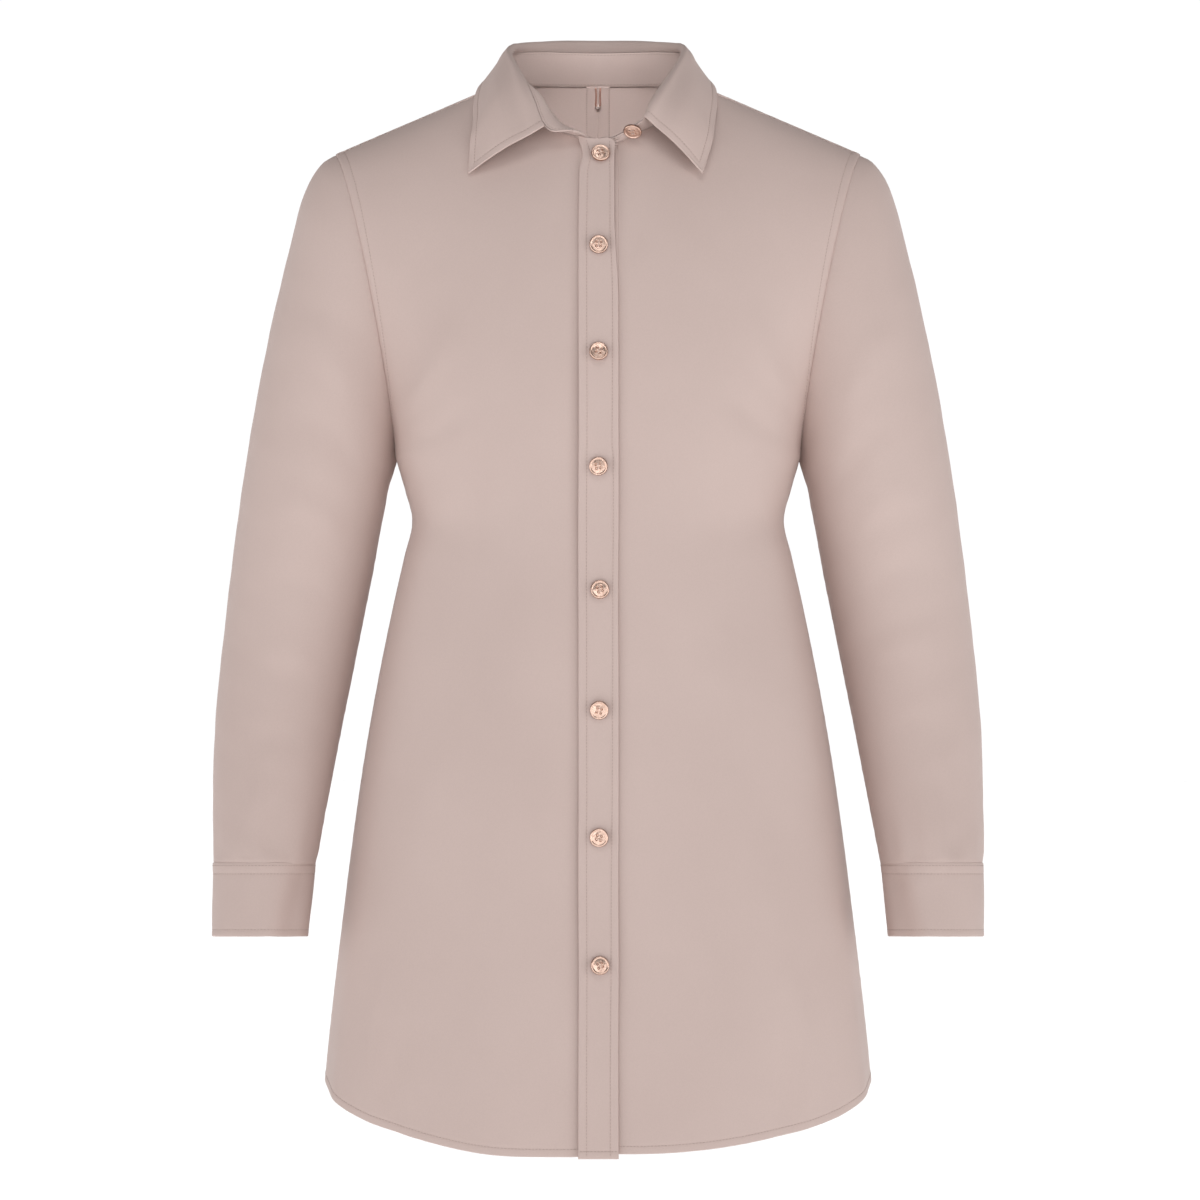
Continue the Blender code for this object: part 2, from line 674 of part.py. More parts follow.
def add_plackets():
    """The under placket in the left front's surface, and the top one over it."""
    rows = body_rows()[:, None]
    across = np.linspace(UNDER_PLACKET_EDGE, PLACKET_INNER, 3)
    outer = near_centre(across[None, :], rows, 1)
    away = normals(outer, 1)
    add_wall("placket_left", outer, outer - away * DOUBLE)

    across = np.linspace(-PLACKET_OUTER, PLACKET_INNER, 7)
    under = near_centre(across[None, :], rows, -1)
    away = normals(under, 1)
    inner = under + away * SEAM
    outer = inner + away * DOUBLE
    for grid in (inner, outer):
        grid[0, :, 2] -= PLACKET_DROP
        over = np.maximum(across - (PLACKET_INNER - PLACKET_CORNER), 0)
        fall = PLACKET_CORNER - np.sqrt(np.maximum(PLACKET_CORNER**2 - over**2, 0))
        along = unit(grid[-2] - grid[-1])
        grid[-1] += along * np.minimum(fall, PLACKET_CORNER * 0.8)[:, None]
    add_wall("placket_right", outer, inner)


def add_collar():
    """The band, and the leaf that is sewn to its upper edge between the band's two ends."""
    shared = np.linspace(LEAF[0].station, LEAF[-1].station, LEAF_COLUMNS)
    ends = np.linspace(LEAF[-1].station, 1, END_COLUMNS + 1)[1:]
    stations = np.concatenate((-ends[::-1], shared, ends))
    stand = band(stations[None, :], np.linspace(0, 1, 5)[:, None])
    downs = np.array((0, 0.07, 0.12, 0.15, 0.18, 0.21, 0.25, 0.4, 0.6, 0.8, 1.0))
    fall = leaf(shared[None, :], downs[:, None])
    stand_n, fall_n = normals(stand, 1), normals(fall, 1)
    share_normals(stand_n[-1, END_COLUMNS:-END_COLUMNS], fall_n[0])
    for name, middle, away, seam in (
        ("collar_band", stand, stand_n, "last row"),
        ("collar_leaf", fall, fall_n, "first row"),
    ):
        outer, inner = middle + away * DOUBLE / 2, middle - away * DOUBLE / 2
        add_wall(name, pulled_in(outer, seam), pulled_in(inner, seam))


def button_mesh():
    """A rimmed round button with a dished face, its base at z = 0: radii and heights."""
    rim = BUTTON_RADIUS
    profile = (
        (rim * 0.55, 0.0),
        (rim * 0.92, 0.5),
        (rim, 1.3),
        (rim * 0.94, 2.3),
        (rim * 0.84, BUTTON_HEIGHT),
        (rim * 0.74, 2.1),
        (rim * 0.66, 1.9),
    )
    sides = 16
    points = [
        (radius * math.cos(2 * math.pi * k / sides), radius * math.sin(2 * math.pi * k / sides), z)
        for radius, z in profile
        for k in range(sides)
    ]
    faces = [list(range(sides))[::-1]]
    for ring in range(len(profile) - 1):
        for k in range(sides):
            a, b = ring * sides + k, ring * sides + (k + 1) % sides
            faces.append([a, b, b + sides, a + sides])
    top = (len(profile) - 1) * sides
    faces.append(list(range(top, top + sides)))
    return np.array(points), faces


def add_button(name, place, facing):
    """Puts a button with its base at a place, looking along facing."""
    points, faces = button_mesh()
    facing = unit(np.asarray(facing, float))
    right = unit(np.cross((0.0, 0.0, 1.0), facing))
    up = np.cross(facing, right)
    turned = points[:, :1] * right + points[:, 1:2] * up + points[:, 2:] * facing
    add_object(name, turned + place, faces, ROSE_GOLD, 0.25, 1.0)


def add_buttons():
    rows = np.linspace(-0.9, 1.0, 400)
    for number, (across, height) in enumerate(BUTTONS, start=1):
        line = near_centre(np.full_like(rows, across), rows, -1)
        i = int(np.searchsorted(line[:, 2], height))
        share = (height - line[i - 1, 2]) / (line[i, 2] - line[i - 1, 2])
        along = unit(line[i] - line[i - 1])
        facing = np.cross((1.0, 0.0, 0.0), along)
        seat = line[i - 1] * (1 - share) + line[i] * share
        add_button(f"button_{number}", seat + facing * (SEAM + DOUBLE + SEAM), facing)

    station, up = BAND_BUTTON
    step = 0.01
    middle = band(station, up)
    across = band(station + step, up) - band(station - step, up)
    along = band(station, up + step) - band(station, up - step)
    facing = unit(np.cross(along, across))
    add_button("band_button", middle + facing * (DOUBLE / 2 + SEAM), facing)


def add_hanger_loop():
    """A narrow ribbon folded to a loop, hanging inside the back neck."""
    drop = np.linspace(0, 1, 6)
    arc = np.linspace(0, math.pi, 7)
    leg = (LOOP_WIDTH - LOOP_RIBBON) / 2
    down = [(-leg, -LOOP_DROP * d) for d in drop[:-1]]
    turn = [(-leg * math.cos(a), -LOOP_DROP - leg * math.sin(a)) for a in arc]
    up = [(leg, -LOOP_DROP * d) for d in drop[-2::-1]]
    path = np.array(down + turn + up)
    top = body(0.0, 1.0, 1)
    below = body(0.0, 0.9, 1)
    slope = unit(below - top)
    inward = unit(np.cross(slope, (1.0, 0.0, 0.0)))
    inward = inward if inward[1] < 0 else -inward
    start = top + inward * (CLOTH + 1.2) + slope * 0.5
    centre = start + path[:, :1] * np.array((1.0, 0, 0)) - path[:, 1:] * slope
    tangent = unit(np.gradient(path, axis=0))
    aside = np.stack((-tangent[:, 1], tangent[:, 0]), axis=1)
    aside = aside[:, :1] * np.array((1.0, 0, 0)) - aside[:, 1:] * slope
    half, flat = LOOP_RIBBON / 2, 0.5
    corners = [
        centre + aside * half + inward * flat,
        centre - aside * half + inward * flat,
        centre - aside * half - inward * flat,
        centre + aside * half - inward * flat,
    ]
    points = np.stack(corners, axis=1).reshape(-1, 3)
    count = len(path)
    faces = [[3, 2, 1, 0], [4 * count - 4, 4 * count - 3, 4 * count - 2, 4 * count - 1]]
    for i in range(count - 1):
        for k in range(4):
            a, b = 4 * i + k, 4 * i + (k + 1) % 4
            faces.append([a, b, b + 4, a + 4])
    add_object("hanger_loop", points, faces, RIBBON, 0.6)


def main():
    for old in list(bpy.data.objects):
        bpy.data.objects.remove(old)
    add_half(1)
    add_half(-1)
    add_plackets()
    add_collar()
    add_buttons()
    add_hanger_loop()


main()
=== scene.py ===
"""Looks of a long shirt blouse, filled out as when it is worn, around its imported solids.

The frame: X to the wearer's left, the front faces -Y, Z up, the origin between the shoulders.
Tables and surfaces are in millimetres, as in the part's source, and meshes are in metres.
"""

import math
from collections import namedtuple

import bmesh
import bpy
import numpy as np
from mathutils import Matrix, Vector


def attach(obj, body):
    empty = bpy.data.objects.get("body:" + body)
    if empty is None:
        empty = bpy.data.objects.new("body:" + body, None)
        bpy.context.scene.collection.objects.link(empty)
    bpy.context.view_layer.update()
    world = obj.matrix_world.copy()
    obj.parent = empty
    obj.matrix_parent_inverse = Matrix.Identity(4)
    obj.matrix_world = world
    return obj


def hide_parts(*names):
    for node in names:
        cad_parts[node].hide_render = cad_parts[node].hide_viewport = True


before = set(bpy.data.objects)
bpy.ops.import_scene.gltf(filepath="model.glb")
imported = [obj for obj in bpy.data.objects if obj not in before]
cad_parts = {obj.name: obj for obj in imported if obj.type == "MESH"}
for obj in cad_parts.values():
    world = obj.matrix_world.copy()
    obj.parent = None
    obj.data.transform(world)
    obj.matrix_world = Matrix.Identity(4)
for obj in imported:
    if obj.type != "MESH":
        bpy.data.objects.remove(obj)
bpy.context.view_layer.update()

MM = 0.001
ACROSS = np.array((1.0, 0.0, 0.0))
UP = np.array((0.0, 0.0, 1.0))

# Cloth
CLOTH = 1.2  # wall of a single layer
DOUBLE = 1.9  # cuffs, collar and plackets, which are folded double
SEAM = 0.32  # gap between two pieces that are sewn together

# Torso
UNDERARM = -298.0
HEM = -844.0  # at the centre front
HEM_RISE = 48.5  # how much higher the hem is at the side seams
HEM_RISE_START = 0.22  # share of the half width where it starts to rise
LEFT_FRONT_LIFT = 2.2  # how much shorter the left front hangs at the centre
# Where else its hem lies higher or lower (below 0): share of the half width, how wide, how much.
HemWave = namedtuple("HemWave", "s width lift")
LEFT_FRONT_WAVES = [HemWave(0.27, 0.11, 4.6), HemWave(0.56, 0.09, -3.2)]
SQUARENESS = 2.45  # exponent of the torso's oval sections

Section = namedtuple("Section", "height half_width front back")
TORSO = [
    Section(-870, 223.0, 138.2, 147),
    Section(-797, 217.4, 136.2, 144),
    Section(-733, 210.8, 134.2, 140),
    Section(-669, 203.2, 132, 135),
    Section(-605, 195.2, 129.6, 129),
    Section(-541, 186.0, 127.1, 122),
    Section(-477, 174.8, 124.6, 113),
    Section(-413, 161.6, 122.4, 105),
    Section(-378, 153.6, 121.4, 101),
    Section(-349, 147.4, 121, 99.5),
    Section(-324, 153.4, 121.2, 101),
    Section(-298, 161.0, 121.8, 104.5),
]

# Soft folds of the skirt: where round the body (0 centre front, 1 side seam, 2 centre back,
# negative on the wearer's right), how wide, where they start and how far they stand out.
Fold = namedtuple("Fold", "turn width top out")
FOLDS = [
    Fold(-0.72, 0.085, -560, 4.5),
    Fold(-0.46, 0.10, -600, -3.0),
    Fold(-0.25, 0.09, -640, 2.5),
    Fold(0.30, 0.10, -620, 3.0),
    Fold(0.52, 0.09, -600, -3.0),
    Fold(0.74, 0.085, -540, 4.5),
    Fold(1.30, 0.10, -560, 5.0),
    Fold(1.52, 0.09, -540, -4.0),
    Fold(1.76, 0.09, -580, 4.0),
    Fold(-1.26, 0.10, -550, 5.0),
    Fold(-1.50, 0.09, -560, -4.0),
    Fold(-1.78, 0.10, -570, 4.5),
]

# Neck and shoulders
NECK_HALF_WIDTH = 77.0
NECK_SEAM_Y = -15.0  # the shoulder seam lies this far in front of the ridge
NECK_FRONT_Y, NECK_FRONT_Z = -80.0, -52.0
NECK_BACK_Y, NECK_BACK_Z = 60.0, 4.0
NECK_SIDE_Z = -2.8
NECK_RISE = 1.5  # exponent of the front neckline's climb
NECK_AT = 0.42  # share of the half width whose column ends at the neck point
TIP = (209.0, -12.0, -58.8)  # outer end of the shoulder seam

# Placket, at the centre front
PLACKET_OUTER = 15.3  # its sewn edge, on the wearer's right
PLACKET_INNER = 15.6  # its free edge, on the wearer's left
LEFT_FRONT_EDGE = PLACKET_INNER + SEAM
RIGHT_FRONT_EDGE = 11.6
UNDER_PLACKET_EDGE = -RIGHT_FRONT_EDGE + SEAM
PLACKET_CORNER = 9.0  # radius of its rounded top corner
PLACKET_DROP = 1.5  # how far it reaches below the hem

# Buttons
BUTTON_RADIUS = 7.3
BUTTON_HEIGHT = 2.6
Button = namedtuple("Button", "across height")  # where it is sewn on the placket
BUTTONS = [
    Button(2.0, -64.3),
    Button(0.7, -136.6),
    Button(0.5, -220.1),
    Button(0.5, -308.9),
    Button(1.5, -404.8),
    Button(1.0, -498.3),
    Button(1.0, -597.1),
    Button(1.5, -696.0),
]
BAND_BUTTON = (0.911, 0.66)  # its station on the band and its share of the band's height

# Sleeve: outer and inner ends of each section as seen from the front, and how far it reaches
# before and behind its middle line, which bends forward below the elbow.
Ring = namedtuple("Ring", "outer_x outer_z inner_x inner_z middle_y front back")
SLEEVE = [
    Ring(209.0, -59.5, 161.0, -298, 0, 62, 57),
    Ring(221.0, -67.0, 162.0, -304, 0, 64, 60),
    Ring(233.5, -88.0, 163.5, -309, 0, 65, 62),
    Ring(245.5, -130, 165.5, -315, 0, 65, 63),
    Ring(256.5, -176, 168.5, -324, 0, 64, 63),
    Ring(266.5, -222, 171.0, -338, 1, 63, 62),
    Ring(275.8, -272, 175.0, -358, 2, 61, 60),
    Ring(285.0, -330, 180.8, -390, 4, 58, 58),
    Ring(293.0, -390, 188.8, -430, 5, 56, 56),
    Ring(299.5, -448, 197.5, -474, 3, 54, 54),
    Ring(304.6, -506, 206.4, -520, -5, 50, 50),
    Ring(306.0, -564, 215.4, -570, -16, 46, 46),
    Ring(304.6, -623, 225.0, -623, -30, 42, 42),
]
CUFF_TOP = -623.0
CUFF_BOTTOM = -677.0
Cuff = namedtuple("Cuff", "outer_x inner_x middle_y front back")
CUFF = [
    Cuff(305.8, 224.4, -30, 42.6, 42.6),
    Cuff(306.2, 227.0, -35, 42.0, 42.0),
    Cuff(305.6, 229.8, -41, 41.0, 41.0),
]

# Collar. Stations go round the neck from the wearer's right end (-1) to the left end (1).
# The band stands on the neckline; each row gives its middle and its upper edge.
Band = namedtuple("Band", "station middle top")
BAND = [
    Band(-1.00, (-14, -90.0, -47), (-20, -93.5, -46)),
    Band(-0.86, (-33, -84.0, -36), (-41.6, -93.0, -42)),
    Band(-0.78, (-43, -71.5, -20), (-50, -78.0, -20)),
    Band(-0.60, (-66, -45.0, -6), (-60, -45.0, 4)),
    Band(-0.42, (-75, -3.0, 13), (-72, -2.0, 22)),
    Band(-0.21, (-53, 36.5, 18), (-52, 35.5, 29.4)),
    Band(0.00, (0, 57.0, 19), (0, 56.0, 30.6)),
    Band(0.21, (53, 36.5, 18), (52, 35.5, 29.4)),
    Band(0.42, (74.5, -3.0, 13), (70, -2.0, 22)),
    Band(0.60, (64.5, -47.0, -7), (55, -48.0, 1)),
    Band(0.78, (43.5, -76.5, -30), (40, -82.0, -24)),
    Band(0.86, (35.5, -83.0, -39), (35.5, -90.0, -34.5)),
    Band(1.00, (7, -77.4, -49.2), (9, -77.0, -45.4)),
]
BAND_SIDE = 0.46  # the station over the shoulder seam
BAND_CENTRE = 1.03  # the station where the neckline reaches the centre front

# The leaf hangs from the band's upper edge: its highest line (the fold), how sharply it is
# folded there (1) or not at all (0), how far its fall bulges outwards, and its outer edge.
Leaf = namedtuple("Leaf", "station crest folded bulge edge")
LEAF = [
    Leaf(-0.86, (-50, -94.0, -47), 0.0, 2.0, (-102.5, -74.5, -77.4)),
    Leaf(-0.78, (-58, -79.0, -25), 0.0, 4.0, (-101.9, -69.0, -64.8)),
    Leaf(-0.60, (-66, -45.0, 8), 0.55, 3.5, (-100, -57.4, -40.4)),
    Leaf(-0.42, (-71.4, -2.0, 28.2), 1.0, -0.8, (-95.0, -4.0, -3.5)),
    Leaf(-0.21, (-53, 38.5, 37.2), 1.0, 2.5, (-72, 60.0, -4)),
    Leaf(0.00, (0, 60.0, 40.2), 1.0, 3.0, (0, 83.0, -6)),
    Leaf(0.21, (53, 38.5, 37.2), 1.0, 2.5, (72, 60.0, -4)),
    Leaf(0.42, (69.4, -2.0, 28.2), 1.0, -0.8, (93.2, -4.0, -3.5)),
    Leaf(0.60, (60, -49.5, 4), 0.6, 3.0, (92.5, -58.6, -39.5)),
    Leaf(0.78, (46, -86.0, -25), 0.25, 3.5, (87.2, -76.3, -63.2)),
    Leaf(0.86, (41, -92.5, -38.5), 0.0, 2.0, (82.6, -85.2, -78.1)),
]
FOLD_RADIUS = 2.8

# Hanger loop, inside the centre back neck
LOOP_WIDTH = 5.4
LOOP_DROP = 14.0
LOOP_RIBBON = 1.5

# Curves and small sums


def hermite(u, step, start, start_slope, end, end_slope):
    """Cubic curve over one step between two values with their slopes, at u from 0 to 1."""
    return (
        (2 * u**3 - 3 * u**2 + 1) * start
        + (u**3 - 2 * u**2 + u) * step * start_slope
        + (3 * u**2 - 2 * u**3) * end
        + (u**3 - u**2) * step * end_slope
    )


def through(knots, values, at):
    """Smooth curve through the values at rising knots, read at the places given."""
    knots, values, at = (np.asarray(given, float) for given in (knots, values, at))
    slopes = np.gradient(values, knots, axis=0)
    i = np.clip(np.searchsorted(knots, at, side="right") - 1, 0, len(knots) - 2)
    step = knots[i + 1] - knots[i]
    u = np.clip((at - knots[i]) / step, 0.0, 1.0)
    if values.ndim > 1:
        u, step = u[..., None], step[..., None]
    return hermite(u, step, values[i], slopes[i], values[i + 1], slopes[i + 1])


def column(table, name):
    return [getattr(row, name) for row in table]


def read(table, name, at):
    """A column of a table as a smooth curve over its first column."""
    return through(column(table, table[0]._fields[0]), column(table, name), at)


def ramp(x):
    """0 below 0, 1 above 1, and smooth between."""
    x = np.clip(x, 0.0, 1.0)
    return x * x * (3 - 2 * x)


def bell(x, width):
    """1 at 0, and less on both sides."""
    return np.exp(-((x / width) ** 2))


def held(distance, reach):
    """0 on a border, and 1 from a distance on."""
    return np.minimum(distance / reach, 1)


def unit(vectors):
    return vectors / np.maximum(np.linalg.norm(vectors, axis=-1, keepdims=True), 1e-9)


def spread(a, b):
    """Two arrays of numbers, brought to one shape."""
    return np.broadcast_arrays(np.asarray(a, float), np.asarray(b, float))


def vectors_of(x, y, z):
    return np.stack(np.broadcast_arrays(x, y, z), axis=-1).astype(float)


def bezier(points, t):
    """Cubic curve from four control points, at t from 0 to 1."""
    t = np.asarray(t, float)[..., None]
    a, b, c, d = points
    return (1 - t) ** 3 * a + 3 * (1 - t) ** 2 * t * b + 3 * (1 - t) * t**2 * c + t**3 * d


# The body's outer surface, on the wearer's left half. s runs from the centre (0) to the side
# (1); v runs from the hem (-1) over the underarm line (0) to the neckline or shoulder (1).


def section(s, z, face):
    """A point of the torso's section at height z, with its fore-and-aft sign in face."""
    half_width = read(TORSO, "half_width", z)
    depth = read(TORSO, "front" if face < 0 else "back", z)
    angle = np.asarray(s, float) * math.pi / 2
    x = half_width * np.sin(angle) ** (2 / SQUARENESS)
    y = face * depth * np.maximum(np.cos(angle), 0) ** (2 / SQUARENESS)
    return vectors_of(x, y, z)


def hem_height(s, face, side):
    """Height of the hem, which rises to the side seams and is uneven on the left front."""
    rise = HEM_RISE * ramp((s - HEM_RISE_START) / (1 - HEM_RISE_START))
    if face < 0 and side > 0:
        rise = rise + LEFT_FRONT_LIFT * (1 - ramp(s))
        for wave in LEFT_FRONT_WAVES:
            rise = rise + wave.lift * bell(s - wave.s, wave.width)
    return HEM + rise


def folded_out(points, s, face, side):
    """Moves points of the skirt in or out by the soft folds that pass there."""
    turn = side * np.where(face < 0, s, 2 - s)
    moved = np.zeros(points.shape[:-1])
    for fold in FOLDS:
        shape = bell(turn - fold.turn, fold.width)
        moved += fold.out * shape * ramp((fold.top - points[..., 2]) / (fold.top - HEM))
    outward = unit(points * (1.0, 1.0, 0.0))
    return points + outward * moved[..., None]


def skirt(s, v, face, side):
    """Below the underarm line."""
    s, v = spread(s, v)
    lift = (hem_height(s, face, side) - HEM) * ramp((-v - 0.25) / 0.75)
    z = UNDERARM + v * (UNDERARM - HEM) + lift
    return folded_out(section(s, z, face), s, face, side)


def neckline(q, face):
    """From the centre (0) to the neck point (1), in front (face -1) or behind (1)."""
    q = np.asarray(q, float)
    x = NECK_HALF_WIDTH * np.sin(q * math.pi / 2)
    middle = NECK_FRONT_Y if face < 0 else NECK_BACK_Y
    y = NECK_SEAM_Y + (middle - NECK_SEAM_Y) * np.cos(q * math.pi / 2)
    if face < 0:
        z = NECK_FRONT_Z + (NECK_SIDE_Z - NECK_FRONT_Z) * np.maximum(q, 0) ** NECK_RISE
    else:
        z = NECK_BACK_Z + (NECK_SIDE_Z - NECK_BACK_Z) * q**2
    return vectors_of(x, y, z)


def top_edge(s, face):
    """Neckline up to the neck point, then the shoulder seam out to its tip."""
    s = np.asarray(s, float)
    neck = neckline(np.clip(s / NECK_AT, 0, 1), face)
    along = np.clip((s - NECK_AT) / (1 - NECK_AT), 0, 1)[..., None]
    neck_point = np.array((NECK_HALF_WIDTH, NECK_SEAM_Y, NECK_SIDE_Z))
    seam = neck_point + (np.array(TIP) - neck_point) * along
    return np.where((s <= NECK_AT)[..., None], neck, seam)


# Handles of the chest's and back's curves, by their place across the half width: from the
# underarm line the length and how far it turns forward along the armhole, and at the top edge
# the step back from it.
Handle = namedtuple("Handle", "s length turn fuller step")
FRONT_HANDLES = [
    Handle(0.00, 88, 0, 5, (0, -30, -62)),
    Handle(0.21, 88, 0, 7, (15, -38, -56)),
    Handle(0.42, 86, 6, 9, (36, -60, -42)),
    Handle(0.70, 84, 24, 6, (6, -74, -22)),
    Handle(1.00, 88, 60, 0, (-15, -70, -17)),
]
BACK_HANDLES = [
    Handle(0.00, 95, 0, 5, (0, 46, -82)),
    Handle(0.21, 95, 0, 6, (22, 52, -56)),
    Handle(0.42, 92, 6, 8, (42, 74, -8)),
    Handle(0.70, 86, 24, 6, (12, 90, 9)),
    Handle(1.00, 84, 60, 0, (-7, 90, 14.5)),
]


def chest_controls(s, face):
    """The four control points of the curve that rises from the underarm line at s."""
    s = np.asarray(s, float)
    table = FRONT_HANDLES if face < 0 else BACK_HANDLES
    start = section(s, UNDERARM, face)
    length = read(table, "length", s)[..., None]
    turn = np.radians(read(table, "turn", s))[..., None]
    fuller = read(table, "fuller", s)[..., None]
    centre = section(np.maximum(s - 0.02, 0), UNDERARM, face)
    inward = unit(centre - start + np.array((-1e-6, 0, 0)))
    first = start + length * (np.cos(turn) * UP + np.sin(turn) * inward)
    first = first + fuller * np.array((0.0, face, 0.0))
    end = top_edge(s, face)
    second = end + read(table, "step", s)
    return start, first, second, end


def chest(s, v, face):
    s, v = spread(s, v)
    return bezier(chest_controls(s, face), v)


def body(s, v, face, side=1):
    """The body's outer surface; side is 1 for the wearer's left and -1 for the right."""
    s, v = spread(s, v)
    low = skirt(s, np.minimum(v, 0.0), face, side)
    high = chest(s, np.maximum(v, 0.0), face)
    return np.where((v < 0)[..., None], low, high)


def share_at(x, v, face, side=1):
    """The s at which the body's surface lies x from the centre, on each of the rows v."""
    low, high = np.zeros_like(v), np.full_like(v, 0.4)
    for _ in range(30):
        middle = (low + high) / 2
        less = body(middle, v, face, side)[..., 0] < x
        low, high = np.where(less, middle, low), np.where(less, high, middle)
    return (low + high) / 2


def near_centre(x, v, side):
    """A point of the front's surface at x, which may lie on either side of the centre."""
    x, v = spread(x, v)
    s = share_at(np.abs(x), v, -1, side)
    points = body(s, v, -1, side)
    points[..., 0] = x
    return points


# The sleeve's outer surface, on the wearer's left. turn runs round it from the top (0), down
# the front (0.25) to the underarm (0.5) and up the back; ring runs from 0 to the last row.


def armhole(turn):
    """The body's border that the sleeve's first ring follows."""
    turn = np.asarray(turn, float)
    front = bezier(chest_controls(np.ones_like(turn), -1), 1 - 2 * turn)
    back = bezier(chest_controls(np.ones_like(turn), 1), 2 * turn - 1)
    return np.where((turn <= 0.5)[..., None], front, back)


CAP_BLEND = 4.5  # rings over which the armhole's own shape passes into an oval


def sleeve(turn, ring):
    turn, ring = spread(turn, ring)
    index = np.arange(len(SLEEVE))
    here = {name: through(index, column(SLEEVE, name), ring) for name in Ring._fields}
    middle_x = (here["outer_x"] + here["inner_x"]) / 2
    middle_z = (here["outer_z"] + here["inner_z"]) / 2
    half_x = (here["outer_x"] - here["inner_x"]) / 2
    half_z = (here["outer_z"] - here["inner_z"]) / 2

    first = SLEEVE[0]
    hole = armhole(turn)
    centre = np.array((first.outer_x + first.inner_x, 0, first.outer_z + first.inner_z)) / 2
    half = np.array((first.outer_x - first.inner_x, 0, first.outer_z - first.inner_z)) / 2
    along = ((hole - centre) @ half) / (half @ half)
    aside = hole - centre - along[..., None] * half
    oval = turn * 2 * math.pi
    own = 1 - ramp(ring / CAP_BLEND)
    along = own * along + (1 - own) * np.cos(oval)
    reach = np.where(turn <= 0.5, here["front"], here["back"])
    y = own * aside[..., 1] * reach / np.where(turn <= 0.5, first.front, first.back)
    y = y - (1 - own) * reach * np.sin(oval)
    return vectors_of(
        middle_x + half_x * along + own * aside[..., 0],
        here["middle_y"] + y,
        middle_z + half_z * along + own * aside[..., 2],
    )


def cuff(turn, down):
    """The cuff's outer surface; down runs from its seam (0) to its lower edge (1)."""
    turn, down = spread(turn, down)
    places = np.linspace(0, 1, len(CUFF))
    here = {name: through(places, column(CUFF, name), down) for name in Cuff._fields}
    oval = turn * 2 * math.pi
    reach = np.where(turn <= 0.5, here["front"], here["back"])
    return vectors_of(
        (here["outer_x"] + here["inner_x"]) / 2
        + (here["outer_x"] - here["inner_x"]) / 2 * np.cos(oval),
        here["middle_y"] - reach * np.sin(oval),
        CUFF_TOP + (CUFF_BOTTOM - CUFF_TOP) * down,
    )


# The collar's middle surfaces


def band_foot(station, middle, sink=0.0):
    """The neckline under each station, raised just clear of the body's upper edge."""
    away = np.abs(station)
    behind = away <= BAND_SIDE
    q = np.where(behind, away / BAND_SIDE, (BAND_CENTRE - away) / (BAND_CENTRE - BAND_SIDE))
    step = 0.01
    feet = []
    for face in (-1, 1):
        _, _, before, foot = chest_controls(q * NECK_AT, face)
        tangent = neckline(q + step, face) - neckline(q - step, face)
        rise = unit(np.cross(np.cross(tangent, foot - before), tangent))
        feet.append((foot, rise))
    foot, rise = (np.where(behind[..., None], back, front) for front, back in zip(*feet))
    mirror = vectors_of(np.where(station < 0, -1.0, 1.0), 1.0, 1.0)
    foot, rise = foot * mirror, rise * mirror
    leaning = unit(middle - foot)
    sine = np.linalg.norm(np.cross(leaning, rise), axis=-1, keepdims=True)
    return foot + rise * (SEAM + 0.1 - sink + (DOUBLE / 2 + 0.3) * sine)


def band(station, up):
    """up runs from the sewn edge (0) to the upper edge (1)."""
    station, up = spread(station, up)
    middle, top = read(BAND, "middle", station), read(BAND, "top", station)
    neck = band_foot(station, middle)
    u = up[..., None]
    return neck * (1 - u) * (1 - 2 * u) + middle * 4 * u * (1 - u) + top * u * (2 * u - 1)


def leaf(station, down):
    """down runs from the seam with the band (0) over the fold to the outer edge (1)."""
    station, down = spread(station, down)
    start = band(station, 1.0)
    crest, edge = read(LEAF, "crest", station), read(LEAF, "edge", station)
    folded = np.clip(read(LEAF, "folded", station), 0, 1)[..., None]
    bulge = read(LEAF, "bulge", station)[..., None]
    outward = unit((edge - crest) * (1, 1, 0))
    down_slope = unit(edge - crest)
    lower = FOLD_RADIUS * UP
    inner = crest - folded * (outward * FOLD_RADIUS + lower) - (1 - folded) * down_slope * 3
    outer = crest + folded * (outward * FOLD_RADIUS - lower) + (1 - folded) * down_slope * 3
    along = read(LEAF, "crest", station + 0.01) - read(LEAF, "crest", station - 0.01)
    away = unit(np.cross(along, down_slope))
    upper_fall = outer + (edge - outer) * 0.33 + away * bulge
    lower_fall = outer + (edge - outer) * 0.67 + away * bulge * 0.8
    knots = (0.0, 0.12, 0.18, 0.24, 0.5, 0.75, 1.0)
    rails = np.stack((start, inner, crest, outer, upper_fall, lower_fall, edge))
    slopes = np.gradient(rails, np.array(knots), axis=0)
    i = np.clip(np.searchsorted(knots, down, side="right") - 1, 0, len(knots) - 2)
    step = np.diff(knots)[i][..., None]
    u = (down - np.array(knots)[i])[..., None] / step

    def pick(values, index):
        return np.take_along_axis(values, index[None, ..., None], axis=0)[0]

    return hermite(u, step, pick(rails, i), pick(slopes, i), pick(rails, i + 1),
                   pick(slopes, i + 1))


# Finer cloth on those surfaces

SHOWN = 0.9  # wall of a single layer as it is shown
HEM_STITCH = 6.0  # topstitching, from the edge or seam that it follows
ARMHOLE_STITCH = 7.0
SHOULDER_STITCH = 5.5
PLACKET_STITCH = 6.5
LEAF_STITCH = 5.6
BAND_STITCH = 2.4
CUFF_TOP_STITCH = 8.6
CUFF_SEAM_STITCH = 2.4
CUFF_LOW_STITCH = 5.0
ALLOWANCE = 9.5  # width of a seam allowance inside

# Distances of the grid lines near a plain border, from the border inwards
PLAIN_EDGE = (0, 0.5, 1.1, 2.0, 3.4)


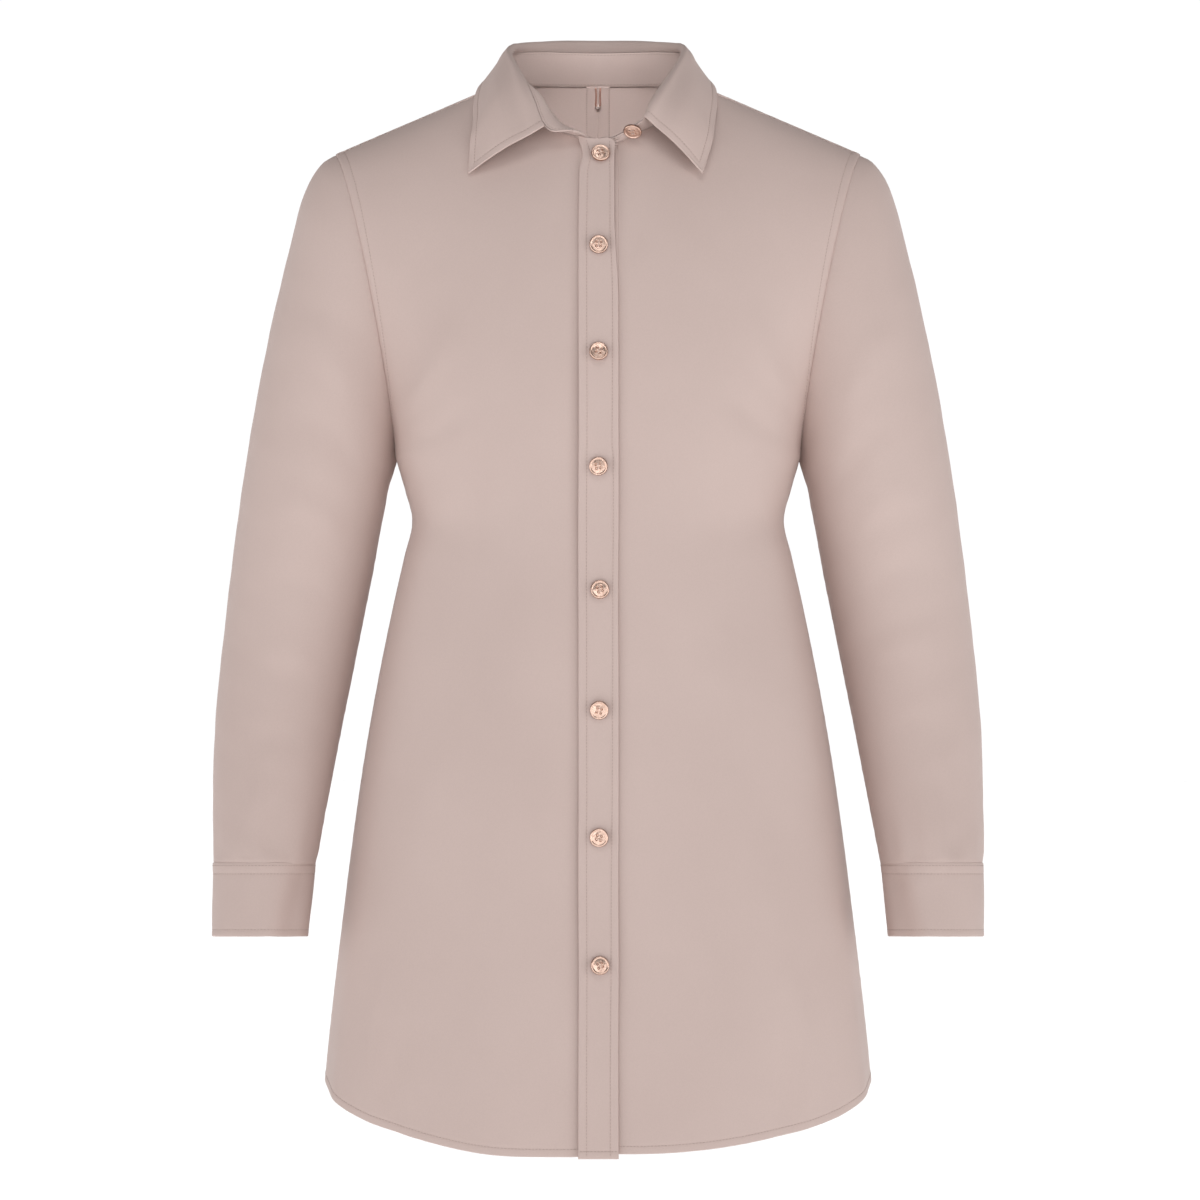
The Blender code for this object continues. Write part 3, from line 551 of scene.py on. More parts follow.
def beside_stitch(distance):
    """Grid lines from a border to a little past a row of topstitching along it."""
    return (0, 0.5, 1.2, 2.4, distance - 1.5, distance - 0.6, distance, distance + 0.6,
            distance + 1.6, distance + 3.2)


def uneven(x, seed):
    """A smooth irregular wave, within -1 and 1, along x, which counts waves."""
    turn = 2 * math.pi * np.asarray(x, float)
    wave = np.sin(turn + seed) + 0.7 * np.sin(0.618 * turn + 2.3 * seed + 1)
    return (wave + 0.5 * np.sin(1.73 * turn + 4.1 * seed)) / 2.2


def running(lines):
    """Distance along each line of points from its start."""
    steps = np.linalg.norm(np.diff(lines, axis=1), axis=-1)
    return np.concatenate((np.zeros((len(lines), 1)), np.cumsum(steps, axis=1)), axis=1)


def settle(lines, knots, first, last, count):
    """On each line, the knot values at set distances from both ends, and evenly between."""
    settled = []
    for run, knot in zip(running(lines), knots):
        middle = np.linspace(first[-1], run[-1] - last[-1], count)
        at = np.concatenate((first[:-1], middle, run[-1] - np.array(last[-2::-1])))
        settled.append(np.interp(at, run, knot))
    return np.array(settled)


def normals(grid, sign, closed=False):
    """Unit normals of a grid of points; sign turns them to the outside."""
    if closed:
        across = np.roll(grid, -1, axis=1) - np.roll(grid, 1, axis=1)
    else:
        across = np.gradient(grid, axis=1)
    return sign * unit(np.cross(across, np.gradient(grid, axis=0)))


# Grid lines between the borders of each piece: columns, then rows
FRONT_TO_NECK, NECK_TO_SIDE, TORSO_ROWS = 22, 30, 190
SLEEVE_GRID = (92, 150)
CUFF_GRID = (110, 16)
PLACKET_GRID = (8, 240)
UNDER_GRID = (8, 190)
BAND_GRID = (150, 14)
LEAF_GRID = (128, 30)
DENSE = 90  # samples of a row from which its grid lines are read


class Sheet:
    """A grid on a piece's outer surface: rows go up the piece and columns across it."""

    def __init__(self, surface, spans, rows, row_ends, row_count, sign, closed=False):
        """spans are (start, end, first, last, count) of the columns; start and end are
        numbers, or arrays along the dense rows. surface takes (column value, row value)."""
        columns = []
        for number, (start, end, first, last, count) in enumerate(spans):
            start, end = start + 0 * rows, end + 0 * rows
            share = np.linspace(0, 1, DENSE)[None, :]
            knots = start[:, None] + (end - start)[:, None] * share
            settled = settle(surface(knots, rows[:, None]), knots, first, last, count)
            columns.append(settled[:, 1:] if number else settled)
        columns = np.concatenate(columns, axis=1)
        lines = surface(columns, rows[:, None]).transpose(1, 0, 2)
        knots = np.tile(rows, (columns.shape[1], 1))
        settled = settle(lines, knots, *row_ends, row_count)
        self.v = settled.T
        self.u = np.stack(
            [np.interp(v, rows, u) for v, u in zip(settled, columns.T)], axis=1
        )
        self.take(surface(self.u, self.v), sign, closed)

    def take(self, points, sign, closed):
        self.points, self.sign, self.closed = points, sign, closed
        self.left = running(points)
        self.right = self.left[:, -1:] - self.left
        self.low = running(points.transpose(1, 0, 2)).T
        self.high = self.low[-1:] - self.low
        self.base_normals = normals(points, sign, closed)

    def shape(self, move):
        """Ends the shaping: moves the points outwards, and finds the normals again."""
        self.points = self.points + self.base_normals * move[..., None]
        self.normals = normals(self.points, self.sign, self.closed)
        return self


def valley(distance, depth=0.5, width=1.1):
    """The cloth rises to its full height a little away from a seam."""
    return depth * (1 - bell(distance, width))


def stitch_dent(distance, at, depth=0.3, fuller=0.35):
    """A dent under a row of topstitching, and the fuller cloth between it and the border."""
    dent = -depth * bell(distance - at, 0.8)
    return dent + fuller * ramp((at - distance) / 1.5 + 0.5) * held(distance, 1.2)


def pucker(distance, along, amount, seed, reach=7.0, wave=11.0):
    """Small uneven waves of the cloth beside a sewn line."""
    strength = 0.6 + 0.4 * uneven(along / 67.0, seed + 1.7)
    return amount * strength * uneven(along / wave, seed) * bell(distance, reach)


# Creases of the cloth: from one end to the other across (x) and up (z), how wide they are,
# and how far they stand out (or in, below 0).
Crease = namedtuple("Crease", "x0 z0 x1 z1 width out")


def creased(points, creases, side):
    """How far the creases on this side move the points, which lie on the wearer's left."""
    moved = np.zeros(points.shape[:-1])
    flat = points[..., (0, 2)]
    for crease in creases:
        if crease.x0 * side < 0:
            continue
        start = np.array((abs(crease.x0), crease.z0))
        end = np.array((abs(crease.x1), crease.z1))
        along = end - start
        length = np.linalg.norm(along)
        share = ((flat - start) @ along) / length**2
        bow = 0.06 * length * np.sin(np.clip(share, 0, 1) * math.pi)
        aside = (flat - start) @ (np.array((-along[1], along[0])) / length) - bow
        width = crease.width * (0.7 + 0.6 * np.clip(share, 0, 1))
        fade = ramp((share + 0.15) / 0.45) * ramp((1.15 - share) / 0.45)
        moved += crease.out * fade * bell(aside, width)
    return moved


def flipped(grid, side):
    return grid if side > 0 else grid * (-1.0, 1.0, 1.0)


def end_of(side):
    return "left" if side > 0 else "right"


# Meshes


def placed_object(name, data):
    made = bpy.data.objects.new(name, data)
    bpy.context.scene.collection.objects.link(made)
    return made


def make_object(name, points, faces, material, uvs=None):
    """A smooth mesh that rides with the garment."""
    mesh = bpy.data.meshes.new(name)
    mesh.from_pydata((np.asarray(points) * MM).tolist(), [], faces)
    if uvs is not None:
        layer = mesh.uv_layers.new(name="flat")
        index = np.zeros(len(mesh.loops), np.int32)
        mesh.loops.foreach_get("vertex_index", index)
        layer.data.foreach_set("uv", (np.asarray(uvs)[index] * MM).astype(np.float32).ravel())
    mesh.shade_smooth()
    mesh.materials.append(material)
    made = placed_object(name, mesh)
    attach(made, "root")
    return made


RIM_DRAWN_IN = 0.28  # of the wall, at both faces of a rounded border
RIM_STANDS_OUT = 0.12  # of the wall, at its middle


def shell(name, sheet, thickness, side, material, rims=(), centred=False):
    """A closed wall on a shaped sheet. rims names its free borders, which are rounded."""
    points, away = sheet.points.copy(), sheet.normals
    wall = np.broadcast_to(np.asarray(thickness, float), points.shape[:2]).copy()
    rows, columns = points.shape[:2]
    outer = points + away * (wall / 2)[..., None] if centred else points
    inner = outer - away * wall[..., None]
    outer, inner = outer.copy(), inner.copy()
    middle = (outer + inner) / 2
    for border in rims:
        views = [
            grid if border in ("low", "high") else grid.transpose(1, 0, 2)
            for grid in (outer, inner, middle)
        ]
        edge, beside = (0, 1) if border in ("low", "left") else (-1, -2)
        reach = (wall if border in ("low", "high") else wall.T)[edge][:, None]
        out = unit(views[2][edge] - views[2][beside])
        for view in views[:2]:
            view[edge] -= out * reach * RIM_DRAWN_IN
        views[2][edge] += out * reach * RIM_STANDS_OUT
    flat = np.stack((sheet.left, sheet.low), axis=-1)
    count = rows * columns
    layers = [outer.reshape(-1, 3), inner.reshape(-1, 3)]
    uvs = [flat.reshape(-1, 2)] * 2

    index = np.arange(count).reshape(rows, columns)
    if sheet.closed:
        index = np.concatenate((index, index[:, :1]), axis=1)
    quads = np.stack(
        (index[:-1, :-1], index[:-1, 1:], index[1:, 1:], index[1:, :-1]), axis=-1
    ).reshape(-1, 4)
    faces = [quads, quads[:, ::-1] + count]
    borders = [index[0, ::-1], index[-1]]
    if not sheet.closed:
        borders += [index[:, 0], index[::-1, -1]]
    extra = 2 * count
    for border in borders:
        rim = np.arange(len(border)) + extra
        extra += len(border)
        layers.append(middle.reshape(-1, 3)[border])
        uvs.append(flat.reshape(-1, 2)[border])
        faces.append(np.stack((border[:-1], border[1:], rim[1:], rim[:-1]), axis=-1))
        faces.append(np.stack((rim[:-1], rim[1:], border[1:] + count, border[:-1] + count), -1))
    points = flipped(np.concatenate(layers), side)
    faces = np.concatenate(faces)
    if sheet.sign * side < 0:
        faces = faces[:, ::-1]
    made = make_object(name, points, faces.tolist(), material, np.concatenate(uvs))
    weld(made)
    return made


MADE = {}  # by its node: each shown piece of cloth, and the small pieces that go with it


def add_cloth(node, sheet, thickness, side, material, rims=(), centred=False):
    """The cloth that is shown for a solid."""
    piece = shell(f"{node}_cloth", sheet, thickness, side, material, rims, centred)
    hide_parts(node)
    MADE[node] = (piece, [])


def add_extras(node, pieces):
    MADE[node][1].extend(pieces)


def weld(made):
    """Joins the corners where two rims meet, so that the mesh is closed."""
    mesh = bmesh.new()
    mesh.from_mesh(made.data)
    bmesh.ops.remove_doubles(mesh, verts=mesh.verts, dist=1e-7)
    mesh.to_mesh(made.data)
    mesh.free()


def on_line(at, run, line):
    """Points of a line at set distances along it."""
    return np.stack([np.interp(at, run, line[:, k]) for k in range(3)], axis=-1)


def corners_of(sides):
    """Cosines and sines round a ring, as factors of vectors."""
    turn = 2 * math.pi * np.arange(sides) / sides
    return np.cos(turn)[None, :, None], np.sin(turn)[None, :, None]


def turned_round(faces):
    return [face[::-1] for face in faces]


def tube_faces(count, sides, turned=False):
    """Quads between the rings of points of a tube, and its two ends."""
    quads = []
    for ring in range(count - 1):
        for k in range(sides):
            a, b = ring * sides + k, ring * sides + (k + 1) % sides
            c, d = a + sides, b + sides
            quads.append([a, b, d, c] if turned else [a, c, d, b])
    ends = [list(range(sides)), list(range((count - 1) * sides, count * sides))[::-1]]
    start, end = turned_round(ends) if turned else ends
    return [start, *quads, end]


def joined(parts):
    """Points and faces of several meshes as those of one."""
    points, faces, base = [], [], 0
    for placed, found in parts:
        points.append(placed)
        faces += [[base + i for i in face] for face in found]
        base += len(placed)
    return np.concatenate(points), faces


# A stitch: where its rings lie along it, their width and their height over the cloth.
STITCH_PITCH = 2.7
STITCH_LENGTH = 2.15
THREAD = 0.21  # radius
STITCH_SIDES = 5
STITCH_RINGS = ((0.0, 0.25, -0.12), (0.22, 1.0, 0.10), (0.78, 1.0, 0.10), (1.0, 0.25, -0.12))
LOOK_AHEAD = 0.3  # distance over which a line's direction is taken


def stitch_row(points, away, side, pitch=STITCH_PITCH, length=STITCH_LENGTH, radius=THREAD):
    """Points and faces of the stitches along a line on the cloth."""
    run = running(points[None])[0]
    count = int(run[-1] // pitch)
    start = (run[-1] - (count - 1) * pitch - length) / 2 + np.arange(count) * pitch
    cosines, sines = corners_of(STITCH_SIDES)
    rings = []
    for station, width, height in STITCH_RINGS:
        at = start + length * station
        up = unit(on_line(at, run, away))
        ahead = on_line(at + LOOK_AHEAD, run, points) - on_line(at - LOOK_AHEAD, run, points)
        aside = unit(np.cross(unit(ahead), up))[:, None]
        up = up[:, None]
        centre = on_line(at, run, points)[:, None] + up * height
        rings.append(centre + radius * width * (aside * cosines + up * sines))
    stitches = flipped(np.stack(rings, axis=1).reshape(count, -1, 3), side)
    faces = tube_faces(len(rings), STITCH_SIDES, turned=True)
    if side < 0:
        faces = turned_round(faces)
    return joined((stitch, faces) for stitch in stitches)


def add_stitches(name, rows, material):
    return make_object(name, *joined(rows), material)


def sew(node, lines, side=1):
    """Topstitching of a piece, along lines of points, each with its outward directions."""
    rows = [stitch_row(points, away, side) for points, away in lines]
    add_extras(node, [add_stitches(f"{node}_stitching", rows, thread)])


# Materials


def add_node(tree, kind, links=(), **values):
    """A node whose values are set by the names of its inputs, or else of its properties."""
    node = tree.nodes.new(kind)
    for key, value in values.items():
        if key in node.inputs:
            node.inputs[key].default_value = value
        else:
            setattr(node, key, value)
    for source, socket in links:
        tree.links.new(source, node.inputs[socket])
    return node


def ramp_of(tree, factor, *stops):
    node = add_node(tree, "ShaderNodeValToRGB", [(factor, "Fac")])
    elements = node.color_ramp.elements
    while len(elements) < len(stops):
        elements.new(0.5)
    for element, (place, colour) in zip(elements, stops):
        element.position = place
        element.color = (*colour, 1.0)
    return node


def material_of(name, colour):
    made = bpy.data.materials.new(name)
    made.use_nodes = True
    made.diffuse_color = (*colour, 1.0)
    return made, made.node_tree, made.node_tree.nodes["Principled BSDF"]


def texture(tree, kind, coordinates="Object", **values):
    place = tree.nodes.new("ShaderNodeTexCoord").outputs[coordinates]
    return add_node(tree, f"ShaderNodeTex{kind}", [(place, "Vector")], **values)


def finish(tree, shader, colour, height, strength, distance, roughness=None, spread_of=None):
    """Joins a material's colour, its bump and, where it varies, its roughness."""
    bump = add_node(tree, "ShaderNodeBump", [(height, "Height")],
                    Strength=strength, Distance=distance)
    tree.links.new(colour, shader.inputs["Base Color"])
    tree.links.new(bump.outputs[0], shader.inputs["Normal"])
    if roughness:
        rough = add_node(tree, "ShaderNodeMapRange", [(spread_of, "Value")])
        for end, value in zip(("To Min", "To Max"), roughness):
            rough.inputs[end].default_value = value
        tree.links.new(rough.outputs[0], shader.inputs["Roughness"])


CLOTH_ROUGHNESS = (0.56, 0.68)
METAL_ROUGHNESS = (0.24, 0.38)
THREAD_ROUGHNESS = 0.5
WEAVE_SCALE = 480.0
SPECK = 0.10  # how much single threads differ in tone


def cloth_material(name, colour, dark):
    """A smooth close weave: a fine grain of threads, faint clouds of tone and a soft sheen."""
    made, tree, shader = material_of(name, colour)
    clouds = texture(tree, "Noise", Scale=9.0, Detail=3.0, Roughness=0.5)
    tone = ramp_of(tree, clouds.outputs["Fac"], (0.3, dark), (0.7, colour))
    fine = texture(tree, "Noise", Scale=900.0, Detail=2.0).outputs["Fac"]
    threads = [
        texture(tree, "Wave", "UV", bands_direction=axis, Scale=WEAVE_SCALE, Distortion=0.6,
                Detail=1.0).outputs["Fac"]
        for axis in ("X", "Y")
    ]
    weave = add_node(tree, "ShaderNodeMath", [(threads[0], 0), (threads[1], 1)],
                     operation="MAXIMUM")
    grain = add_node(tree, "ShaderNodeMath", [(weave.outputs[0], 0), (fine, 1)],
                     operation="ADD")
    shade = ramp_of(tree, fine, (0.35, (0.72, 0.70, 0.69)), (0.65, (1, 1, 1)))
    speck = add_node(tree, "ShaderNodeMix", data_type="RGBA", blend_type="MULTIPLY")
    speck.inputs["Factor"].default_value = SPECK
    tree.links.new(tone.outputs["Color"], speck.inputs[6])
    tree.links.new(shade.outputs["Color"], speck.inputs[7])
    finish(tree, shader, speck.outputs[2], grain.outputs[0], 0.16, 0.0002,
           CLOTH_ROUGHNESS, fine)
    for socket, value in (("Specular IOR Level", 0.35), ("Sheen Weight", 0.12),
                          ("Sheen Roughness", 0.45), ("Sheen Tint", (1.0, 0.90, 0.86, 1.0))):
        shader.inputs[socket].default_value = value
    return made


def thread_material(name, colour):
    made, tree, shader = material_of(name, colour)
    twist = texture(tree, "Noise", Scale=1500.0, Detail=1.0).outputs["Fac"]
    darker = tuple(0.8 * c for c in colour)
    tone = ramp_of(tree, twist, (0.35, darker), (0.65, colour))
    finish(tree, shader, tone.outputs["Color"], twist, 0.4, 0.0001)
    shader.inputs["Roughness"].default_value = THREAD_ROUGHNESS
    return made


def metal_material(name, colour, dark):
    """Polished rose metal with a finely hammered skin, darker in patches of a fine noise."""
    made, tree, shader = material_of(name, colour)
    hammered = texture(tree, "Voronoi", Scale=650.0, feature="SMOOTH_F1")
    brushed = texture(tree, "Noise", Scale=1400.0, Detail=2.0).outputs["Fac"]
    tone = ramp_of(tree, brushed, (0.3, dark), (0.6, colour))
    finish(tree, shader, tone.outputs["Color"], hammered.outputs["Distance"], 0.35, 0.0003,
           METAL_ROUGHNESS, brushed)
    shader.inputs["Metallic"].default_value = 1.0
    return made


ROSE, ROSE_DARK = (0.605, 0.475, 0.436), (0.580, 0.452, 0.414)
cloth = cloth_material("rose_cloth", ROSE, ROSE_DARK)
folded_cloth = cloth_material("rose_cloth_double", ROSE, ROSE_DARK)
inner_cloth = cloth_material("rose_cloth_inside", (0.59, 0.462, 0.424), (0.565, 0.440, 0.402))
# the thread is darker than the cloth: painted shade along the stitched lines
thread = thread_material("rose_thread", (0.49, 0.37, 0.33))
ribbon = thread_material("rose_ribbon", (0.42, 0.23, 0.18))
button_cotton = thread_material("button_cotton", (0.62, 0.46, 0.40))
knot_cotton = thread_material("knot_cotton", (0.66, 0.55, 0.50))
rose_metal = metal_material("rose_metal", (0.82, 0.60, 0.50), (0.60, 0.38, 0.29))
# darker metal for the buttons' outer rim wall: a painted reflection of the rose cloth round each
# button
cloth_reflection_metal = metal_material("rose_metal_painted_reflection", (0.42, 0.235, 0.17), (0.30, 0.16, 0.11))


# The torso's pieces

FRONT_CREASES = [
    # drag lines from the armholes towards the bust
    Crease(-158, -268, -112, -196, 10, 1.2),
    Crease(-150, -290, -98, -262, 9, -1.0),
    Crease(160, -262, 118, -186, 11, 1.3),
    Crease(152, -288, 100, -250, 9, -1.1),
    Crease(-176, -150, -150, -230, 9, -0.9),
    Crease(178, -146, 152, -232, 10, -1.0),
    # under the bust, down to the waist
    Crease(-96, -300, -84, -470, 17, -1.4),
    Crease(98, -310, 88, -455, 16, -1.3),
    Crease(-126, -330, -140, -480, 14, 1.2),
    Crease(128, -325, 142, -500, 15, 1.3),
    Crease(-50, -400, -58, -620, 22, 1.2),
    Crease(56, -430, 62, -640, 24, -1.2),
    # long soft folds of the skirt
    Crease(-118, -520, -150, -800, 20, 1.8),
    Crease(-84, -560, -96, -850, 18, -1.6),
    Crease(-166, -700, -172, -850, 9, 2.0),
    Crease(-150, -740, -158, -860, 8, -1.6),
    Crease(104, -540, 128, -790, 22, 1.7),
    Crease(150, -700, 160, -850, 9, 2.0),
    Crease(136, -760, 140, -860, 8, -1.5),
    Crease(60, -600, 74, -840, 20, 1.2),
    # beside the placket
    Crease(-30, -92, -26, -230, 8, -0.7),
    Crease(30, -80, 26, -150, 6, -0.9),
    Crease(-28, -500, -30, -760, 10, 0.9),
    Crease(27, -640, 30, -830, 9, -0.8),
]
BACK_CREASES = [
    Crease(-150, -120, -96, -170, 14, 1.3),
    Crease(150, -118, 100, -176, 14, 1.2),
    Crease(-164, -262, -104, -230, 12, 1.5),
    Crease(162, -268, 106, -238, 12, 1.6),
    Crease(-70, -330, -78, -470, 17, -1.6),
    Crease(76, -325, 82, -480, 18, -1.5),
    Crease(-118, -340, -128, -520, 16, 1.5),
    Crease(120, -345, 132, -510, 15, 1.6),
    Crease(-30, -380, -40, -600, 20, 1.5),
    Crease(36, -400, 44, -620, 20, 1.4),
    Crease(-120, -560, -150, -810, 20, 2.0),
    Crease(-60, -600, -70, -840, 20, -1.7),
    Crease(126, -550, 152, -800, 20, 2.0),
    Crease(70, -620, 80, -840, 19, -1.8),
    Crease(-20, -640, -24, -840, 16, 1.4),
]

TUCKED = PLACKET_OUTER - RIGHT_FRONT_EDGE  # width of the right front under the placket
ROWS = np.concatenate((np.linspace(-1, -0.02, 110), np.linspace(0, 1, 70)))
EASING = 260  # steps of smoothing
HEM_ROWS = beside_stitch(HEM_STITCH)
SIDE_COLUMNS = beside_stitch(ARMHOLE_STITCH)
SHOULDER_ROWS = beside_stitch(SHOULDER_STITCH)
ARMHOLE_AT = SIDE_COLUMNS.index(ARMHOLE_STITCH)
HEM_AT = HEM_ROWS.index(HEM_STITCH)


def eased(sheet):
    """The points, with the corner that runs down from the neck point smoothed away."""
    points = sheet.points.copy()
    near = bell(sheet.u - NECK_AT, 0.16)
    share = (near * ramp((sheet.high - 6) / 45) * held(sheet.left, 20))[..., None]
    for _ in range(EASING):
        beside = (points[:, :-2] + points[:, 2:]) / 2
        points[:, 1:-1] += share[:, 1:-1] * 0.5 * (beside - points[:, 1:-1])
    return points


NECK_DROP = 5.0  # how much lower the unfastened left front's top corner hangs


def dropped(points):
    """The points, those of the left front's top corner moved down."""
    x, y, z = np.moveaxis(points, -1, 0)
    share = ramp((40 - x) / 30) * ramp((z + 95) / 35) * ramp((-y - 40) / 20)
    return points - (NECK_DROP * share)[..., None] * UP


def torso_sheet(face, side):
    """The grid of one half's front or back, with its creases, seams and dents."""
    if face < 0:
        edge_x = LEFT_FRONT_EDGE - SEAM / 2 if side > 0 else RIGHT_FRONT_EDGE - SEAM
        start = share_at(np.full_like(ROWS, edge_x), ROWS, -1, side)
    else:
        start = 0.0
    spans = [
        (start, NECK_AT, PLAIN_EDGE, (0,), FRONT_TO_NECK),
        (NECK_AT, 1.0, (0,), SIDE_COLUMNS, NECK_TO_SIDE),
    ]
    sheet = Sheet(lambda s, v: body(s, v, face, side), spans, ROWS,
                  (HEM_ROWS, SHOULDER_ROWS), TORSO_ROWS, -face)
    points = eased(sheet)
    if face < 0 and side > 0:
        points = dropped(points)
    sheet.take(points, -face, False)
    x, z = sheet.points[..., 0], sheet.points[..., 2]
    on_armhole = ramp(sheet.v / 0.05)
    move = creased(sheet.points, FRONT_CREASES if face < 0 else BACK_CREASES, side)
    seed = 1.0 + 2 * (side > 0) + 5 * (face > 0)
    move += 0.5 * uneven(x / 120 + z / 410, seed) * uneven(z / 260 + x / 500, seed + 2)
    move += 0.25 * uneven(x / 41 + z / 190, seed + 3) * uneven(z / 77, seed + 4)
    move *= held(sheet.right, 25) * held(sheet.left, 12)
    move *= held(sheet.high, 18)
    move += valley(sheet.right, 0.35)
    if face > 0:
        move += valley(sheet.left, 0.4)
        move += pucker(sheet.left, z, 0.20, seed + 6)
    elif side < 0:
        # the cloth turns in under the placket's sewn edge
        depth = 1.5 + 0.7 * uneven(z / 330, seed + 6) - 0.5 * ramp((z + 260) / 120)
        move -= depth * bell(sheet.left - TUCKED, 5.0)
        move -= 0.8 * bell(sheet.left - TUCKED, 1.4)
    else:
        move -= (0.7 + 0.4 * uneven(z / 210, seed + 6)) * bell(sheet.left, 4.5)
    move += on_armhole * stitch_dent(sheet.right, ARMHOLE_STITCH, 0.2, 0.12)
    move += pucker(sheet.right, z, 0.28, seed + 7)
    move += stitch_dent(sheet.low, HEM_STITCH, 0.18, 0.15)
    move += pucker(sheet.low, x, 0.30, seed + 8, 8.0, 14.0)
    on_shoulder = ramp((sheet.u - NECK_AT) / 0.03)
    move += on_shoulder * valley(sheet.high, 0.5)
    if face > 0:
        move += on_shoulder * stitch_dent(sheet.high, SHOULDER_STITCH)
    move += on_shoulder * pucker(sheet.high, x, 0.22, seed + 9)
    return sheet.shape(move)


def torso_seams(sheet, face):
    """Where the topstitching runs: the armhole, the hem and, at the back, the shoulder."""
    points, away = sheet.points, sheet.normals
    top = np.searchsorted(sheet.v[:, -1 - ARMHOLE_AT], 0.01)
    armhole = (slice(top, -3), -1 - ARMHOLE_AT)
    seams = [armhole, (HEM_AT, slice(None, -2))]
    if face > 0:
        row = -1 - SHOULDER_ROWS.index(SHOULDER_STITCH)
        neck = np.searchsorted(sheet.u[row], NECK_AT)
        seams.append((row, slice(neck, -3)))
    return [(points[seam], away[seam]) for seam in seams]


ALLOWANCE_WALL = 0.6
OVERSEWN_AT = (0.02, 0.30)  # rows of oversewing, from the free edge inwards


def allowance(name, sheet, side, border, width=ALLOWANCE, first=0, last=None, oversewn=False):
    """Strips of the piece's own cloth, turned back inside along a seam, and their stitches."""
    points, away = sheet.points, sheet.normals
    run = {"left": sheet.left, "right": sheet.right, "high": sheet.high}[border]
    if border == "high":
        points, away, run = (grid.swapaxes(0, 1) for grid in (points, away, run))
    if border != "left":
        points, away, run = points[:, ::-1], away[:, ::-1], run[:, ::-1]
    points, away, run = points[first:last], away[first:last], run[first:last]
    places = np.linspace(0, width, 6)
    centre, out = (
        np.stack([on_line(places, at, line) for at, line in zip(run, grid)])
        for grid in (points, away)
    )
    out = unit(out)
    beyond = centre[:, :1] + unit(centre[:, :1] - centre[:, 1:2]) * 0.9
    centre = np.concatenate((beyond, centre), axis=1)
    out = np.concatenate((out[:, :1], out), axis=1)
    along = running(centre[:, 0][None])[0][:, None]
    places = np.concatenate(([0], places))
    depth = SHOWN + 0.25 + 0.5 * ramp((places - 2) / 6)[None, :]
    depth = depth + 0.25 * (1 + uneven(along / 38.0, 3.0)) * ramp((places - 3) / 6)[None, :]
    strip = Sheet.__new__(Sheet)
    turned = (border != "left") != (border == "high")
    strip.take(centre - out * depth[..., None], sheet.sign * (-1 if turned else 1), False)
    strip.shape(np.zeros(depth.shape))
    made = [shell(name, strip, ALLOWANCE_WALL, side, inner_cloth, ("right",))]
    if oversewn:
        away = -out[:, -1]
        rows = []
        for share in OVERSEWN_AT:
            line = strip.points[:, -1] * (1 - share) + strip.points[:, -2] * share
            rows.append(stitch_row(line + away * 0.45, away, side, 1.9, 1.6, 0.17))
        made.append(add_stitches(f"{name}_oversewing", rows, thread))
    return made


def add_torso(side):
    end = end_of(side)
    for face, word in ((-1, "front"), (1, "back")):
        node = f"{word}_{end}"
        sheet = torso_sheet(face, side)
        wall = SHOWN + 0.7 * (1 - ramp((sheet.low - HEM_STITCH) / 1.2))
        add_cloth(node, sheet, wall, side, cloth, ("low",))
        sew(node, torso_seams(sheet, face), side)
        under = int(np.searchsorted(sheet.v[:, -1], 0.0))
        strips = [("armhole", "right", ARMHOLE_STITCH + 2, under, None, False)]
        if face > 0:
            neck = int(np.searchsorted(sheet.u[-1], NECK_AT))
            strips += [
                ("centre", "left", ALLOWANCE, 0, None, True),
                ("side", "right", ALLOWANCE, 0, under + 1, False),
                ("shoulder", "high", SHOULDER_STITCH + 2.5, neck, None, False),
            ]
        for where, *how in strips:
            add_extras(node, allowance(f"{node}_{where}_allowance", sheet, side, *how))


# Sleeves and cuffs

SLEEVE_CREASES = [
    # seen from the front
    Crease(196, -262, 232, -196, 12, 1.4),
    Crease(192, -318, 236, -268, 11, -1.3),
    Crease(206, -352, 252, -322, 12, 1.3),
    Crease(214, -404, 262, -384, 12, -1.1),
    Crease(222, -452, 270, -446, 13, 1.2),
    Crease(236, -508, 282, -520, 12, -0.9),
    Crease(252, -560, 262, -622, 8, 1.1),
    Crease(274, -552, 280, -622, 7, -1.0),
    Crease(-196, -258, -230, -190, 12, 1.4),
    Crease(-190, -312, -238, -262, 12, -1.2),
    Crease(-204, -360, -250, -330, 11, 1.4),
    Crease(-212, -410, -264, -398, 13, -1.0),
    Crease(-224, -460, -268, -452, 12, 1.1),
    Crease(-238, -520, -280, -530, 12, -0.9),
    Crease(-250, -566, -256, -622, 8, -1.1),
    Crease(-268, -556, -272, -622, 7, 1.1),
]
SLEEVE_LOW = (*PLAIN_EDGE, 5.5)
TOP_TIP, LOW_TIP = 0.051, 0.064  # how much the cuff's two edges rise towards the front
TOP_SHIFT, LOW_SHIFT = 2.0, -2.7
WRIST_Y = -35.0
CUFF_TOP_ROWS = beside_stitch(CUFF_TOP_STITCH)
CUFF_LOW_ROWS = beside_stitch(CUFF_LOW_STITCH)


def tipped(points, tip, shift):
    """The points, with each level of the wrist moved and tipped up at its front."""
    points = points.copy()
    points[..., 2] += tip * (WRIST_Y - points[..., 1]) + shift
    return points


def full_turn(place):
    """From the underarm seam (0) up the back, over the top and down the front (1)."""
    return np.mod(0.5 + np.asarray(place, float), 1.0)


